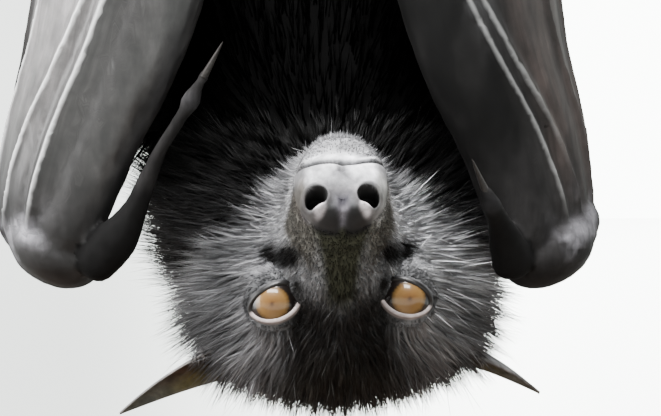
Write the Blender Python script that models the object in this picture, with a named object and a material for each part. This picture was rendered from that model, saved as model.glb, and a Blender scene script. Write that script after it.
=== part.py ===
"""Flying fox at rest, head down on a cut branch, held by a plain display stand.

Lengths below are millimetres and become metres in body(). The bat hangs facing -Y
with its own left side at -X. Heights in the tables are counted from the eye line.
"""
import math

import bmesh
import bpy
import numpy as np
from mathutils import Matrix, Vector

MM = 0.001
FLAT_ENOUGH = math.radians(1.5)   # faces flatter than this are joined after a cut
GAP = 0.3                       # clearance between touching pieces
LEFT, RIGHT = -1, 1             # the bat's own sides along X

EYE_LINE_Z = 68.0               # height of the eyes above the floor
FACE_X = 8.0                    # the face is carried a little to the bat's right
FACE_Y = -20.0
HEAD_PITCH = math.radians(25)   # the muzzle points forward and slightly up
HEAD_ROLL = math.radians(2.1)
MUZZLE_BEND = 0.033            # sideways for each millimetre forward of the eyes
EYE_SPACING = 26.6
EYE_RADIUS = 6.0
EYE_FORWARD = 1.2
NOSTRIL = (36.4, 5.1, -6.2)     # forward, sideways, crownward from the eye midpoint
MOUTH_LEVEL = -14.0
JAW_HINGE = -2.0

PERCH_RADIUS = 11.0
PERCH_Y = 4.0
PERCH_Z = 317.0                 # above the eye line
PERCH_HALF_LENGTH = 152.0
TOE_RADIUS = 1.8
TOE_COUNT = 5
TOE_CLEARANCE = 0.9             # a toe is made of straight runs round the perch
FOOT_X = 21.0

BASE_LENGTH = 316.0
BASE_DEPTH = 190.0
BASE_HEIGHT = 13.0
BASE_CORNER = 14.0
BASE_EDGE = 1.5
ROD_RADIUS = 4.5
ROD_X = 138.0

HEAD_SIDES = 24
TRUNK_SIDES = 24
LIMB_SIDES = 10
WING_PLACES = (0, 0.055, 0.10, 0.145, 0.195, 0.24, 0.285, 0.36, 0.415, 0.46, 0.505, 0.56,
               0.615, 0.66, 0.705, 0.78, 0.86, 0.93, 1)
WING_INNER_POINTS = 8

# forward, half width, top, widest level, underside
HEAD_STATIONS = (
    (38.2, 2.8, -5.6, -9.0, -11.5),
    (37.0, 6.9, -2.9, -9.0, -15.7),
    (33.5, 9.3, -1.2, -9.5, -21.0),
    (28.0, 10.2, 0.0, -10.0, -23.6),
    (20.0, 11.2, 1.8, -10.0, -26.0),
    (12.0, 12.6, 5.2, -10.0, -28.0),
    (5.0, 15.2, 9.6, -9.5, -30.0),
    (-3.0, 22.4, 15.4, -9.0, -31.5),
    (-12.0, 30.4, 19.0, -9.0, -32.0),
    (-22.0, 33.0, 16.0, -9.0, -30.0),
    (-31.0, 28.5, 10.4, -8.0, -24.0),
    (-38.0, 18.0, 3.4, -7.0, -16.0),
    (-41.0, 6.0, -3.0, -7.0, -10.0),
)

# height, centre x, centre y, half width, half depth
TRUNK_STATIONS = (
    (-11.0, 7.0, 19.0, 9.0, 6.0),
    (-8.0, 7.0, 18.5, 18.0, 11.0),
    (1.0, 7.0, 18.0, 30.0, 18.0),
    (14.0, 6.0, 16.5, 36.5, 25.0),
    (30.0, 3.0, 15.5, 36.0, 28.5),
    (52.0, 1.0, 15.0, 35.0, 29.0),
    (80.0, 0.0, 14.5, 34.0, 28.0),
    (115.0, 0.0, 14.0, 31.0, 25.0),
    (150.0, 0.0, 13.5, 27.5, 22.5),
    (180.0, 0.0, 13.0, 22.0, 19.0),
    (198.0, 0.0, 12.0, 15.0, 14.0),
    (207.0, 0.0, 11.0, 7.0, 7.0),
)
NECK_TOP = 33.0
CHEST_TOP = 96.0
BELLY_TOP = 160.0

# x (outward), y, height, half width, half depth
FOREARM_STATIONS = (
    (46.2, -10.0, 15.0, 6.9, 6.6),
    (40.3, -14.0, 32.0, 7.6, 7.0),
    (29.0, -23.0, 62.0, 9.0, 8.0),
    (18.6, -28.0, 116.0, 8.6, 8.2),
    (10.4, -25.0, 160.0, 7.0, 7.2),
    (9.8, -22.0, 172.0, 5.0, 5.4),
)
UPPER_ARM_STATIONS = (
    (33.0, 3.0, 40.0, 7.6, 9.0),
    (32.0, 2.0, 52.0, 10.0, 10.0),
    (36.0, -8.0, 80.0, 8.0, 8.0),
    (26.0, -13.0, 125.0, 7.0, 6.0),
    (19.0, -13.0, 160.0, 5.5, 4.5),
)
# height, x where the fingers begin, outermost x, y of the front, rear x, y of the rear,
# thickness
HAND_STATIONS = (
    (8.0, 48.0, 58.0, -6.0, 50.0, 10.0, 7.0),
    (16.0, 48.5, 64.5, -14.0, 53.0, 20.0, 10.0),
    (34.0, 42.5, 63.6, -20.0, 54.5, 30.0, 9.5),
    (62.0, 32.0, 57.0, -29.0, 52.0, 38.0, 9.0),
    (116.0, 20.5, 52.0, -34.0, 46.0, 45.0, 8.5),
    (165.0, 13.5, 46.0, -31.0, 36.0, 42.0, 8.0),
    (200.0, 16.0, 42.5, -23.0, 31.0, 36.0, 5.5),
    (235.0, 25.0, 42.0, -12.0, 31.0, 29.0, 4.0),
    (268.0, 28.0, 36.0, -1.0, 29.0, 26.0, 3.0),
    (292.0, 25.8, 28.0, 13.0, 26.5, 23.0, 1.8),
)
HAND_TOP = 196.0                # the fingers end here; above it only the trailing web
FINGER_PLACES = (0.10, 0.24, 0.46, 0.66)
FINGER_HEIGHT = 1.9
FINGER_WIDTH = 0.030
KNUCKLE_LEVEL = 122.0
KNUCKLE_RISE = 1.3
KNUCKLE_SPAN = 8.0
PLEAT_DEPTH = 1.1
PLEAT_COUNT = 3.5
SPREAD = {LEFT: 3.0, RIGHT: -3.0}    # the left hand is opened a little more
LEAN = {LEFT: 3.0, RIGHT: 0.5}       # how far the wrist end swings out
LEAN_HEIGHT = 62.0

THUMB_STATIONS = {
    LEFT: (
        (43.0, -12.0, 8.0, 4.8, 4.0),
        (37.8, -16.5, 13.0, 4.4, 3.2),
        (34.2, -19.5, 18.8, 2.6, 2.3),
        (31.6, -22.0, 24.5, 2.0, 1.9),
        (28.6, -25.0, 31.0, 1.4, 1.4),
        (24.0, -28.5, 38.0, 1.35, 1.35),
        (22.2, -30.0, 41.0, 2.0, 1.9),
        (20.8, -30.8, 43.6, 1.15, 1.15),
        (19.3, -31.5, 46.2, 1.0, 1.0),
    ),
    RIGHT: (
        (44.0, -14.0, 8.0, 4.6, 4.0),
        (42.0, -19.0, 13.0, 3.4, 3.0),
        (40.3, -24.5, 17.0, 2.2, 2.0),
        (38.7, -30.0, 20.0, 1.9, 1.8),
        (37.4, -31.6, 22.8, 1.1, 1.1),
    ),
}
THUMB_CLAW_LENGTH = 6.4
WRIST_STATIONS = (
    (40.0, -6.0, 10.2, 3.2, 3.6),
    (43.0, -6.0, 9.8, 6.4, 8.4),
    (48.0, -4.5, 9.6, 7.6, 11.0),
    (54.0, -1.5, 11.6, 7.2, 11.0),
    (58.0, 1.0, 16.0, 5.0, 8.0),
)

LEG_STATIONS = (
    (12.0, 12.0, 186.0, 9.0, 9.0),
    (17.0, 9.0, 204.0, 11.0, 10.5),
    (23.0, 5.0, 224.0, 8.5, 8.5),
    (26.0, 3.5, 241.0, 6.2, 6.2),
    (25.0, 9.0, 260.0, 5.2, 5.2),
    (22.5, 15.5, 280.0, 3.8, 3.8),
    (21.2, 18.5, 293.0, 3.4, 3.4),
)
KNEE = 241.0

EAR_LENGTH = 32.5
EAR_HALF_WIDTH = 6.6
EAR_THICKNESS = 0.9
EAR_CUP = 4.2
EAR_BOW = 1.0
EAR_ROOT = (-15.0, 21.0, 1.6)   # forward, sideways, crownward
# outward, rearward, upward from root to tip: the right ear is laid back further
EAR_WAY = {LEFT: (0.83, 0.36, -0.51), RIGHT: (0.674, 0.62, -0.42)}
EAR_OPENS = {LEFT: (0.0, -0.54, -0.84), RIGHT: (0.0, 0.0, -1.0)}
EAR_STEPS = 8
EAR_ACROSS = 6

FUR_DARK = ((0.030, 0.028, 0.027, 1), 0.8)
FUR_GREY = ((0.070, 0.068, 0.066, 1), 0.75)
LEATHER = ((0.060, 0.053, 0.052, 1), 0.38)
KNUCKLE = ((0.120, 0.108, 0.104, 1), 0.42)
EAR_SKIN = ((0.075, 0.052, 0.038, 1), 0.5)
AMBER = ((0.34, 0.150, 0.045, 1), 0.08)
HORN = ((0.018, 0.015, 0.013, 1), 0.3)
BARK = ((0.150, 0.108, 0.075, 1), 0.85)
WALNUT = ((0.080, 0.045, 0.026, 1), 0.45)
STEEL = ((0.42, 0.42, 0.43, 1), 0.32)


def clear_scene():
    """Start from an empty file."""
    for obj in list(bpy.data.objects):
        bpy.data.objects.remove(obj, do_unlink=True)


def finish_material(name, look, metallic=0.0):
    """One Principled material of its own for a piece."""
    colour, roughness = look
    material = bpy.data.materials.new(name)
    material.use_nodes = True
    shader = material.node_tree.nodes["Principled BSDF"]
    shader.inputs["Base Color"].default_value = colour
    shader.inputs["Roughness"].default_value = roughness
    shader.inputs["Metallic"].default_value = metallic
    material.diffuse_color = colour
    return material


def body(name, rings, look, metallic=0.0):
    """A closed body through equal rings of points, each end closed flat."""
    shape = bmesh.new()
    loops = [[shape.verts.new(point * MM) for point in ring] for ring in rings]
    count = len(loops[0])
    for near, far in zip(loops, loops[1:]):
        for i in range(count):
            j = (i + 1) % count
            shape.faces.new((near[i], near[j], far[j], far[i]))
    ends = [shape.faces.new(loop) for loop in (loops[0], loops[-1])]
    bmesh.ops.triangulate(shape, faces=ends)
    bmesh.ops.recalc_face_normals(shape, faces=shape.faces)
    return place(name, shape, look, metallic)


def place(name, shape, look, metallic=0.0):
    """Put a bmesh into the scene under its name."""
    mesh = bpy.data.meshes.new(name)
    shape.to_mesh(mesh)
    shape.free()
    obj = bpy.data.objects.new(name, mesh)
    bpy.context.scene.collection.objects.link(obj)
    if look is not None:
        mesh.materials.append(finish_material(name, look, metallic))
    mesh.polygons.foreach_set("use_smooth", [True] * len(mesh.polygons))
    return obj


def smooth_rows(table, steps):
    """Catmull-Rom rows through a short table of stations."""
    rows = np.array(table, dtype=float)
    last = len(rows) - 1
    out = []
    for i in range(last):
        a, b, c, d = (rows[min(max(k, 0), last)] for k in (i - 1, i, i + 1, i + 2))
        for step in range(steps):
            t = step / steps
            out.append(0.5 * (2 * b + (c - a) * t + (2 * a - 5 * b + 4 * c - d) * t * t
                              + (3 * b - a - 3 * c + d) * t ** 3))
    out.append(rows[-1])
    return out


def up(height):
    """Height above the eye line as height above the floor."""
    return EYE_LINE_Z + height


def tube(name, table, look, steps=2, sides=LIMB_SIDES, side=RIGHT, rounded=True,
         lean=0.0):
    """A limb along a smooth path with its own half width and half depth at each station."""
    rows = smooth_rows(table, steps)
    if rounded:
        rows = round_ends(rows)
    points = [Vector((side * (row[0] + lean * max(1 - row[2] / LEAN_HEIGHT, 0)), row[1],
                      up(row[2]))) for row in rows]
    rings = []
    for i, row in enumerate(rows):
        along = points[min(i + 1, len(rows) - 1)] - points[max(i - 1, 0)]
        along.normalize()
        across = along.cross(Vector((0, -1, 0)))
        if across.length < 0.2:
            across = along.cross(Vector((0, 0, 1)))
        across.normalize()
        deep = along.cross(across)
        rings.append([points[i] + across * row[3] * math.cos(a) + deep * row[4] * math.sin(a)
                      for a in np.linspace(0, math.tau, sides, endpoint=False)])
    return body(name, rings, look)


def round_ends(rows):
    """Close a path with two shrinking stations at each end."""
    out = list(rows)
    for end, inner in ((0, 1), (-1, -2)):
        step = np.array(out[end][:3]) - np.array(out[inner][:3])
        step = step / np.linalg.norm(step)
        reach = min(out[end][3], out[end][4])
        extra = []
        for turn in (0.75,):
            row = np.array(out[end], dtype=float)
            row[:3] += step * reach * math.sin(turn * math.pi / 2) * 0.9
            row[3:5] *= math.cos(turn * math.pi / 2)
            extra.append(row)
        if end == 0:
            out = extra[::-1] + out
        else:
            out = out + extra
    return out


def head_frame():
    """Matrix from forward, sideways (towards +X), crownward to the world."""
    forward = Vector((0, -math.cos(HEAD_PITCH), math.sin(HEAD_PITCH)))
    crown = Vector((0, -math.sin(HEAD_PITCH), -math.cos(HEAD_PITCH)))
    axes = Matrix((forward, Vector((1, 0, 0)), crown)).transposed()
    roll = Matrix.Rotation(-HEAD_ROLL, 3, "Y")
    return (Matrix.Translation((FACE_X, FACE_Y, EYE_LINE_Z)) @ (roll @ axes).to_4x4())


HEAD = head_frame()


def at_head(forward, sideways, crownward):
    """A point of the head in the world."""
    sideways += MUZZLE_BEND * max(forward, 0)
    return HEAD @ Vector((forward, sideways, crownward))


def head_ring(row):
    """One outline across the head: full cheeks below, narrower brow above."""
    forward, half, top, level, under = row
    ring = []
    for a in np.linspace(0, math.tau, HEAD_SIDES, endpoint=False):
        c, s = math.cos(a), math.sin(a)
        reach = (top - level) if s > 0 else (level - under)
        pinch = 1 - 0.10 * max(s, 0) * min(max((forward + 2) / 20, 0), 1)
        ring.append(at_head(forward, half * pinch * math.copysign(abs(c) ** 0.9, c),
                            level + reach * math.copysign(abs(s) ** 0.95, s)))
    return ring


def inflated(obj, grow=GAP):
    """A copy of a piece, swollen by a clearance, for cutting its neighbour."""
    shape = bmesh.new()
    shape.from_mesh(obj.data)
    shape.normal_update()
    for vert, normal in [(v, v.normal.copy()) for v in shape.verts]:
        vert.co += normal * grow * MM
    return place("cutter", shape, None)


def combine(obj, tool, operation):
    """Apply one exact Boolean and drop the tool."""
    modifier = obj.modifiers.new("combine", "BOOLEAN")
    modifier.solver = "EXACT"
    modifier.operation = operation
    modifier.object = tool
    graph = bpy.context.evaluated_depsgraph_get()
    mesh = bpy.data.meshes.new_from_object(obj.evaluated_get(graph))
    obj.modifiers.clear()
    obj.data = mesh
    bpy.data.objects.remove(tool, do_unlink=True)
    keep_largest(obj)


def keep_largest(obj):
    """Drop crumbs a cut leaves behind and weld the seam."""
    shape = bmesh.new()
    shape.from_mesh(obj.data)
    bmesh.ops.remove_doubles(shape, verts=shape.verts, dist=0.02 * MM)
    bmesh.ops.dissolve_degenerate(shape, dist=0.01 * MM, edges=shape.edges)
    unseen = set(shape.verts)
    islands = []
    while unseen:
        stack = [unseen.pop()]
        island = []
        while stack:
            vert = stack.pop()
            island.append(vert)
            for edge in vert.link_edges:
                other = edge.other_vert(vert)
                if other in unseen:
                    unseen.remove(other)
                    stack.append(other)
        islands.append(island)
    islands.sort(key=len)
    crumbs = [vert for island in islands[:-1] for vert in island]
    bmesh.ops.delete(shape, geom=crumbs, context="VERTS")
    bmesh.ops.dissolve_limit(shape, angle_limit=FLAT_ENOUGH, verts=shape.verts,
                             edges=shape.edges)
    bmesh.ops.triangulate(shape, faces=shape.faces)
    bmesh.ops.recalc_face_normals(shape, faces=shape.faces)
    shape.to_mesh(obj.data)
    shape.free()
    obj.data.polygons.foreach_set("use_smooth", [True] * len(obj.data.polygons))


def fit_beside(obj, *others, grow=GAP):
    """Trim a piece so that it clears its neighbours."""
    for other in others:
        combine(obj, inflated(other, grow), "DIFFERENCE")


def copy_of(obj, name, look):
    """The same shape as a new piece with a material of its own."""
    shape = bmesh.new()
    shape.from_mesh(obj.data)
    return place(name, shape, look)


def block(low, high, frame=Matrix.Identity(4)):
    """A plain cutting block between two corners of a frame."""
    shape = bmesh.new()
    bmesh.ops.create_cube(shape, size=1.0)
    low, high = Vector(low), Vector(high)
    for vert in shape.verts:
        mix = Vector(low[k] + (vert.co[k] + 0.5) * (high[k] - low[k]) for k in range(3))
        vert.co = (frame @ mix) * MM
    bmesh.ops.recalc_face_normals(shape, faces=shape.faces)
    return place("cutter", shape, None)


def between(obj, low, high, name, look):
    """The slice of a body between two heights above the eye line."""
    piece = copy_of(obj, name, look)
    far = 400.0
    combine(piece, block((-far, -far, up(low)), (far, far, up(high))), "INTERSECT")
    return piece


def build_head():
    """Head with sunk eyes, open nostrils and a lower jaw parted along the mouth."""
    rings = [head_ring(row) for row in HEAD_STATIONS]
    head = body("head", rings, FUR_GREY)
    for sideways in (LEFT, RIGHT):
        label = "left" if sideways == LEFT else "right"
        centre = at_head(EYE_FORWARD, sideways * EYE_SPACING / 2, 0)
        eye = ball("eye_" + label, centre, EYE_RADIUS, AMBER)
        fit_beside(head, eye)
        bore = nostril_bore(sideways)
        combine(head, bore, "DIFFERENCE")
    reach = 60.0
    jaw = copy_of(head, "lower_jaw", FUR_GREY)
    combine(jaw, block((JAW_HINGE, -reach, -reach), (reach, reach, MOUTH_LEVEL), HEAD),
            "INTERSECT")
    combine(head, block((JAW_HINGE - GAP, -reach, -reach),
                        (reach + GAP, reach, MOUTH_LEVEL + GAP), HEAD), "DIFFERENCE")
    return head, jaw


def ball(name, centre, radius, look):
    """An eyeball."""
    shape = bmesh.new()
    bmesh.ops.create_uvsphere(shape, u_segments=12, v_segments=8, radius=radius * MM)
    for vert in shape.verts:
        vert.co += centre * MM
    return place(name, shape, look)


def nostril_bore(side):
    """A short pit that opens forward and outward."""
    forward, sideways, crownward = NOSTRIL
    mouth = at_head(forward + 2.5, side * (sideways + 1.6), crownward)
    end = at_head(forward - 3.5, side * (sideways - 0.6), crownward - 0.5)
    rings = []
    along = (mouth - end).normalized()
    across = along.cross(Vector((0, 0, 1))).normalized()
    deep = along.cross(across)
    for point, radius in ((end, 1.2), ((mouth + end) / 2, 1.7), (mouth, 2.2)):
        rings.append([point + (across * math.cos(a) + deep * math.sin(a)) * radius
                      for a in np.linspace(0, math.tau, 8, endpoint=False)])
    return body("cutter", rings, None)


def build_trunk(head, jaw):
    """Neck ruff, chest, belly and rump, parted from one smooth barrel."""
    rings = []
    for height, x, y, half, deep in TRUNK_STATIONS:
        rings.append([Vector((x + half * math.cos(a), y + deep * math.sin(a), up(height)))
                      for a in np.linspace(0, math.tau, TRUNK_SIDES, endpoint=False)])
    whole = body("cutter", rings, None)
    low, high = TRUNK_STATIONS[0][0] - 5, TRUNK_STATIONS[-1][0] + 5
    neck = between(whole, low, NECK_TOP, "neck", FUR_GREY)
    chest = between(whole, NECK_TOP + GAP, CHEST_TOP, "chest", FUR_DARK)
    belly = between(whole, CHEST_TOP + GAP, BELLY_TOP, "belly", FUR_DARK)
    rump = between(whole, BELLY_TOP + GAP, high, "rump", FUR_DARK)
    bpy.data.objects.remove(whole, do_unlink=True)
    fit_beside(neck, head, jaw)
    return neck, chest, belly, rump


def build_ear(side, head, neck):
    """A pointed, cupped ear swept out and back."""
    label = "left" if side == LEFT else "right"
    root = at_head(EAR_ROOT[0], side * EAR_ROOT[1], EAR_ROOT[2])
    outward_part, rearward, upward = EAR_WAY[side]
    length_way = Vector((side * outward_part, rearward, upward)).normalized()
    opens = Vector(EAR_OPENS[side])
    cup_way = (opens - length_way * opens.dot(length_way)).normalized()
    width_way = length_way.cross(cup_way) * side
    rings = []
    for s in np.linspace(0, 1, EAR_STEPS + 1):
        taper = max(1 - s, 0.012) * (0.35 + 0.65 * min(s / 0.25, 1))
        half = EAR_HALF_WIDTH * taper ** 0.95 * (0.95 + 0.25 * s)
        cup = EAR_CUP * taper ** 1.1 + 0.15
        spine = root + length_way * EAR_LENGTH * s - cup_way * EAR_BOW * math.sin(s * math.pi)
        thick = EAR_THICKNESS * (1 - 0.3 * s)
        outer, inner = [], []
        for w in np.linspace(-1, 1, EAR_ACROSS + 1):
            place_out = spine + width_way * half * w + cup_way * cup * w * w
            outer.append(place_out - cup_way * thick * 0.5)
            inner.append(place_out + cup_way * thick * 0.5)
        rings.append(outer + inner[::-1])
    ear = body("ear_" + label, rings, EAR_SKIN)
    fit_beside(ear, head, neck)
    return ear


def wing_ring(row, side):
    """One outline of the folded hand: finger ridges outside, a plain face to the body."""
    height, x_in, x_out, y_front, x_rear, y_rear, thick = row
    fade = min(max((HAND_TOP + 40 - height) / 60, 0), 1)
    x_in += SPREAD[side] * 0.5 * fade
    x_out += SPREAD[side] * 0.6 * fade
    p = [np.array(q) for q in ((x_in, y_front), (x_out * 1.02 - 2, y_front),
                               (x_out + 3.5, y_rear * 0.55), (x_rear, y_rear))]
    outer, inner = [], []
    for a in WING_PLACES:
        point, normal = bezier(p, a)
        outer.append(point + normal * ridge(a, height, fade))
    for a in np.linspace(0.97, 0.03, WING_INNER_POINTS):
        point, normal = bezier(p, a)
        depth = thick * (1 - 0.45 * a) * min(1, 0.55 + 3 * min(a, 1 - a))
        inner.append(point - normal * depth)
    return [Vector((side * q[0], q[1], up(height))) for q in outer + inner]


def bezier(p, a):
    """Point and outward normal of the wing's plan curve."""
    b = 1 - a
    point = p[0] * b ** 3 + p[1] * 3 * a * b * b + p[2] * 3 * a * a * b + p[3] * a ** 3
    way = (p[1] - p[0]) * b * b + (p[2] - p[1]) * 2 * a * b + (p[3] - p[2]) * a * a
    way = way / np.linalg.norm(way)
    return point, np.array((way[1], -way[0]))


def ridge(a, height, fade):
    """How far the fingers and the pleats stand out of the folded hand."""
    rise = 0.0
    for place_a in FINGER_PLACES:
        knuckle = KNUCKLE_RISE * math.exp(-((height - KNUCKLE_LEVEL) / KNUCKLE_SPAN) ** 2)
        rise += (FINGER_HEIGHT + knuckle) * math.exp(-((a - place_a) / FINGER_WIDTH) ** 2)
    rear = min(max((a - 0.7) / 0.15, 0), 1) * (1 - a) / 0.3
    rise *= fade
    return rise + rear * PLEAT_DEPTH * math.cos(a * math.tau * PLEAT_COUNT / 0.3)


def build_wing(side, chest, parts):
    """Upper arm, forearm, wrist, folded hand, trailing web, thumb and its claw."""
    label = "left" if side == LEFT else "right"
    front = (parts["head"], parts["neck"])
    forearm = tube("forearm_" + label, FOREARM_STATIONS, LEATHER, side=side,
                   lean=LEAN[side])
    fit_beside(forearm, *front)
    wrist = tube("wrist_" + label, WRIST_STATIONS, KNUCKLE, steps=1, side=side)
    fit_beside(wrist, forearm, *front)
    whole = body("cutter", [wing_ring(row, side) for row in HAND_STATIONS], None)
    hand = between(whole, -20, HAND_TOP, "hand_" + label, LEATHER)
    web = between(whole, HAND_TOP + GAP, 320, "wing_web_" + label, LEATHER)
    bpy.data.objects.remove(whole, do_unlink=True)
    upper = tube("upper_arm_" + label, UPPER_ARM_STATIONS, FUR_DARK, steps=2, side=side)
    fit_beside(upper, chest, parts["belly"], forearm)
    fit_beside(hand, forearm, wrist, upper, chest, parts["belly"], parts["rump"], *front)
    thumb = tube("thumb_" + label, THUMB_STATIONS[side], KNUCKLE, steps=1, sides=8,
                 side=side)
    fit_beside(thumb, wrist, forearm, hand, *front)
    claw = thumb_claw(side, label)
    fit_beside(claw, thumb, *front)
    return {"forearm": forearm, "wrist": wrist, "hand": hand, "web": web, "upper": upper}


def thumb_claw(side, label):
    """The hooked claw at the end of the thumb."""
    before, tip = (Vector(row[:3]) for row in THUMB_STATIONS[side][-2:])
    way = (tip - before).normalized()
    rows = []
    for t in np.linspace(0, 1, 5):
        point = tip + way * (1.2 + THUMB_CLAW_LENGTH * t) + Vector((0, -1, 0)) * 2.0 * t * t
        size = 0.95 * (1 - t) ** 0.7 + 0.15
        rows.append((point.x, point.y, point.z, size, size))
    return tube("thumb_claw_" + label, rows, HORN, steps=1, sides=6, side=side,
                rounded=False)


def build_leg(side, parts, wing, perch):
    """Thigh, shin, foot with five toes over the perch, and five claws."""
    label = "left" if side == LEFT else "right"
    leg = tube("cutter", LEG_STATIONS, None, side=side)
    thigh = between(leg, 150, KNEE, "thigh_" + label, FUR_DARK)
    fit_beside(thigh, parts["rump"])
    shin = between(leg, KNEE + GAP, 330, "shin_" + label, LEATHER)
    bpy.data.objects.remove(leg, do_unlink=True)
    back = PERCH_Y + PERCH_RADIUS + GAP
    rows = (
        (FOOT_X, back + 3.6, 294.0, 4.2, 3.2),
        (FOOT_X, back + 3.4, 301.0, 6.2, 3.0),
        (FOOT_X, back + 3.0, 310.0, 8.2, 2.6),
        (FOOT_X, back + 2.6, 316.0, 8.6, 2.3),
    )
    foot = tube("foot_" + label, rows, LEATHER, steps=1, sides=8, side=side)
    for toe in range(TOE_COUNT):
        spread = toe - (TOE_COUNT - 1) / 2
        path = toe_arc(spread, -4, 112, TOE_RADIUS, TOE_RADIUS * 0.92, 5)
        combine(foot, tube("cutter", path, None, steps=1, sides=6, side=side), "UNION")
        hook = toe_arc(spread, 125, 176, TOE_RADIUS * 0.72, 0.2, 4)
        tube("toe_claw_%s_%d" % (label, toe + 1), hook, HORN, steps=1, sides=6, side=side,
             rounded=False)
    fit_beside(shin, foot)
    fit_beside(wing["web"], thigh, shin, foot, parts["rump"], wing["forearm"])
    fit_beside(wing["hand"], thigh)


def toe_arc(spread, start, stop, thick_start, thick_end, steps):
    """Stations of a toe or claw that curls over the perch from behind."""
    rows = []
    for t in np.linspace(0, 1, steps):
        turn = math.radians(start + (stop - start) * t)
        thick = thick_start + (thick_end - thick_start) * t
        reach = PERCH_RADIUS + TOE_CLEARANCE + max(thick, TOE_RADIUS * 0.35)
        fan = 3.5 + 0.9 * (start + (stop - start) * t) / 176
        rows.append((FOOT_X + spread * fan, PERCH_Y + reach * math.cos(turn),
                     PERCH_Z + reach * math.sin(turn), thick, thick))
    return rows


def build_perch():
    """A cut length of branch, plain and round where the feet hold it."""
    rings = []
    sides = 14
    for t in np.linspace(-1, 1, 17):
        x = t * PERCH_HALF_LENGTH
        wild = min(max((abs(x) - 42) / 30, 0), 1)
        knot = 2.6 * math.exp(-((x + 84) / 9) ** 2) + 2.0 * math.exp(-((x - 96) / 10) ** 2)
        ring = []
        for a in np.linspace(0, math.tau, sides, endpoint=False):
            radius = PERCH_RADIUS + wild * (0.7 * math.sin(3 * a + x / 22)
                                            + 0.5 * math.sin(x / 13) + 0.4)
            radius += knot * max(math.cos(a - 0.9), 0) ** 2
            ring.append(Vector((x, PERCH_Y + wild * 1.6 * math.sin(x / 60)
                                + radius * math.cos(a),
                                up(PERCH_Z) + radius * math.sin(a))))
        rings.append(ring)
    return body("perch", rings, BARK)


def build_stand(perch):
    """Flat base with eased edges and two rods that carry the perch."""
    shape = bmesh.new()
    bmesh.ops.create_cube(shape, size=1.0)
    for vert in shape.verts:
        vert.co = Vector((vert.co.x * BASE_LENGTH, vert.co.y * BASE_DEPTH,
                          (vert.co.z + 0.5) * BASE_HEIGHT)) * MM
    upright = [e for e in shape.edges if abs((e.verts[0].co - e.verts[1].co).z) > MM]
    bmesh.ops.bevel(shape, geom=upright, offset=BASE_CORNER * MM, segments=4,
                    affect="EDGES", profile=0.5)
    rim = [e for e in shape.edges if all(v.co.z > BASE_HEIGHT * MM * 0.9 for v in e.verts)
           and len(e.link_faces) == 2 and e.calc_face_angle() > 1.0]
    bmesh.ops.bevel(shape, geom=rim, offset=BASE_EDGE * MM, segments=2, affect="EDGES",
                    profile=0.5)
    bmesh.ops.recalc_face_normals(shape, faces=shape.faces)
    base = place("stand_base", shape, WALNUT)
    base.data.polygons.foreach_set("use_smooth", [False] * len(base.data.polygons))
    for side, label in ((LEFT, "left"), (RIGHT, "right")):
        rings = []
        for z in (BASE_HEIGHT + GAP, up(PERCH_Z)):
            rings.append([Vector((side * ROD_X + ROD_RADIUS * math.cos(a),
                                  PERCH_Y + ROD_RADIUS * math.sin(a), z))
                          for a in np.linspace(0, math.tau, 20, endpoint=False)])
        rod = body("stand_rod_" + label, rings, STEEL, metallic=1.0)
        fit_beside(rod, perch)


def main():
    """Build every piece of the bat, its perch and the stand."""
    clear_scene()
    perch = build_perch()
    build_stand(perch)
    head, jaw = build_head()
    neck, chest, belly, rump = build_trunk(head, jaw)
    parts = {"head": head, "neck": neck, "belly": belly, "rump": rump}
    for side in (LEFT, RIGHT):
        build_ear(side, head, neck)
        wing = build_wing(side, chest, parts)
        build_leg(side, parts, wing, perch)


main()
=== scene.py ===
import math

import bmesh
import bpy
import numpy as np
from mathutils import Matrix, Vector
from mathutils.kdtree import KDTree


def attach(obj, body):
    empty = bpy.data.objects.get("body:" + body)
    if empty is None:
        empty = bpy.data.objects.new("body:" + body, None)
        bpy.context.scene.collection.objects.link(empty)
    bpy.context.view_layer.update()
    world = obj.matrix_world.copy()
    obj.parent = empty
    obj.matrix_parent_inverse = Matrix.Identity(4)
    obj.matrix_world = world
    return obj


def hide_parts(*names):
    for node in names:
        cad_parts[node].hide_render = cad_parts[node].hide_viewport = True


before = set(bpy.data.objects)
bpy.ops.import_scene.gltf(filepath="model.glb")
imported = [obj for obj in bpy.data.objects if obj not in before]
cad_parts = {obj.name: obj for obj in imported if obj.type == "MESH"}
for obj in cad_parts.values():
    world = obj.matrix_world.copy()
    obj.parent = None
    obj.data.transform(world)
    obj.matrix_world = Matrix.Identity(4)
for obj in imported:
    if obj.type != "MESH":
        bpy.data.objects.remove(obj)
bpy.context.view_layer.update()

bl_info = {
    "name": "Hanging flying fox",
    "version": (1, 0, 0),
    "blender": (4, 5, 0),
    "location": "3D View > Sidebar > Flying fox",
    "description": "Builds the skin, coat, eyes, claws, perch and stand of a roosting flying fox",
    "category": "Object",
}

# Lengths are millimetres until a mesh is made; heights count from the eye line.
MM = 0.001
LEFT, RIGHT = -1, 1
SIDES = {LEFT: "left", RIGHT: "right"}

EYE_LINE_Z = 68.0
FACE_X = 8.0
FACE_Y = -20.0
HEAD_PITCH = math.radians(25)
HEAD_ROLL = math.radians(2.1)
MUZZLE_BEND = 0.033
EYE_FORWARD = 1.2
PERCH_Y = 4.0
PERCH_Z = 317.0
PERCH_RADIUS = 11.0
TOE_RADIUS = 1.8
TOE_COUNT = 5
TOE_RINGS, TOE_AROUND = 30, 14
FOOT_X = 21.0

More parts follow.
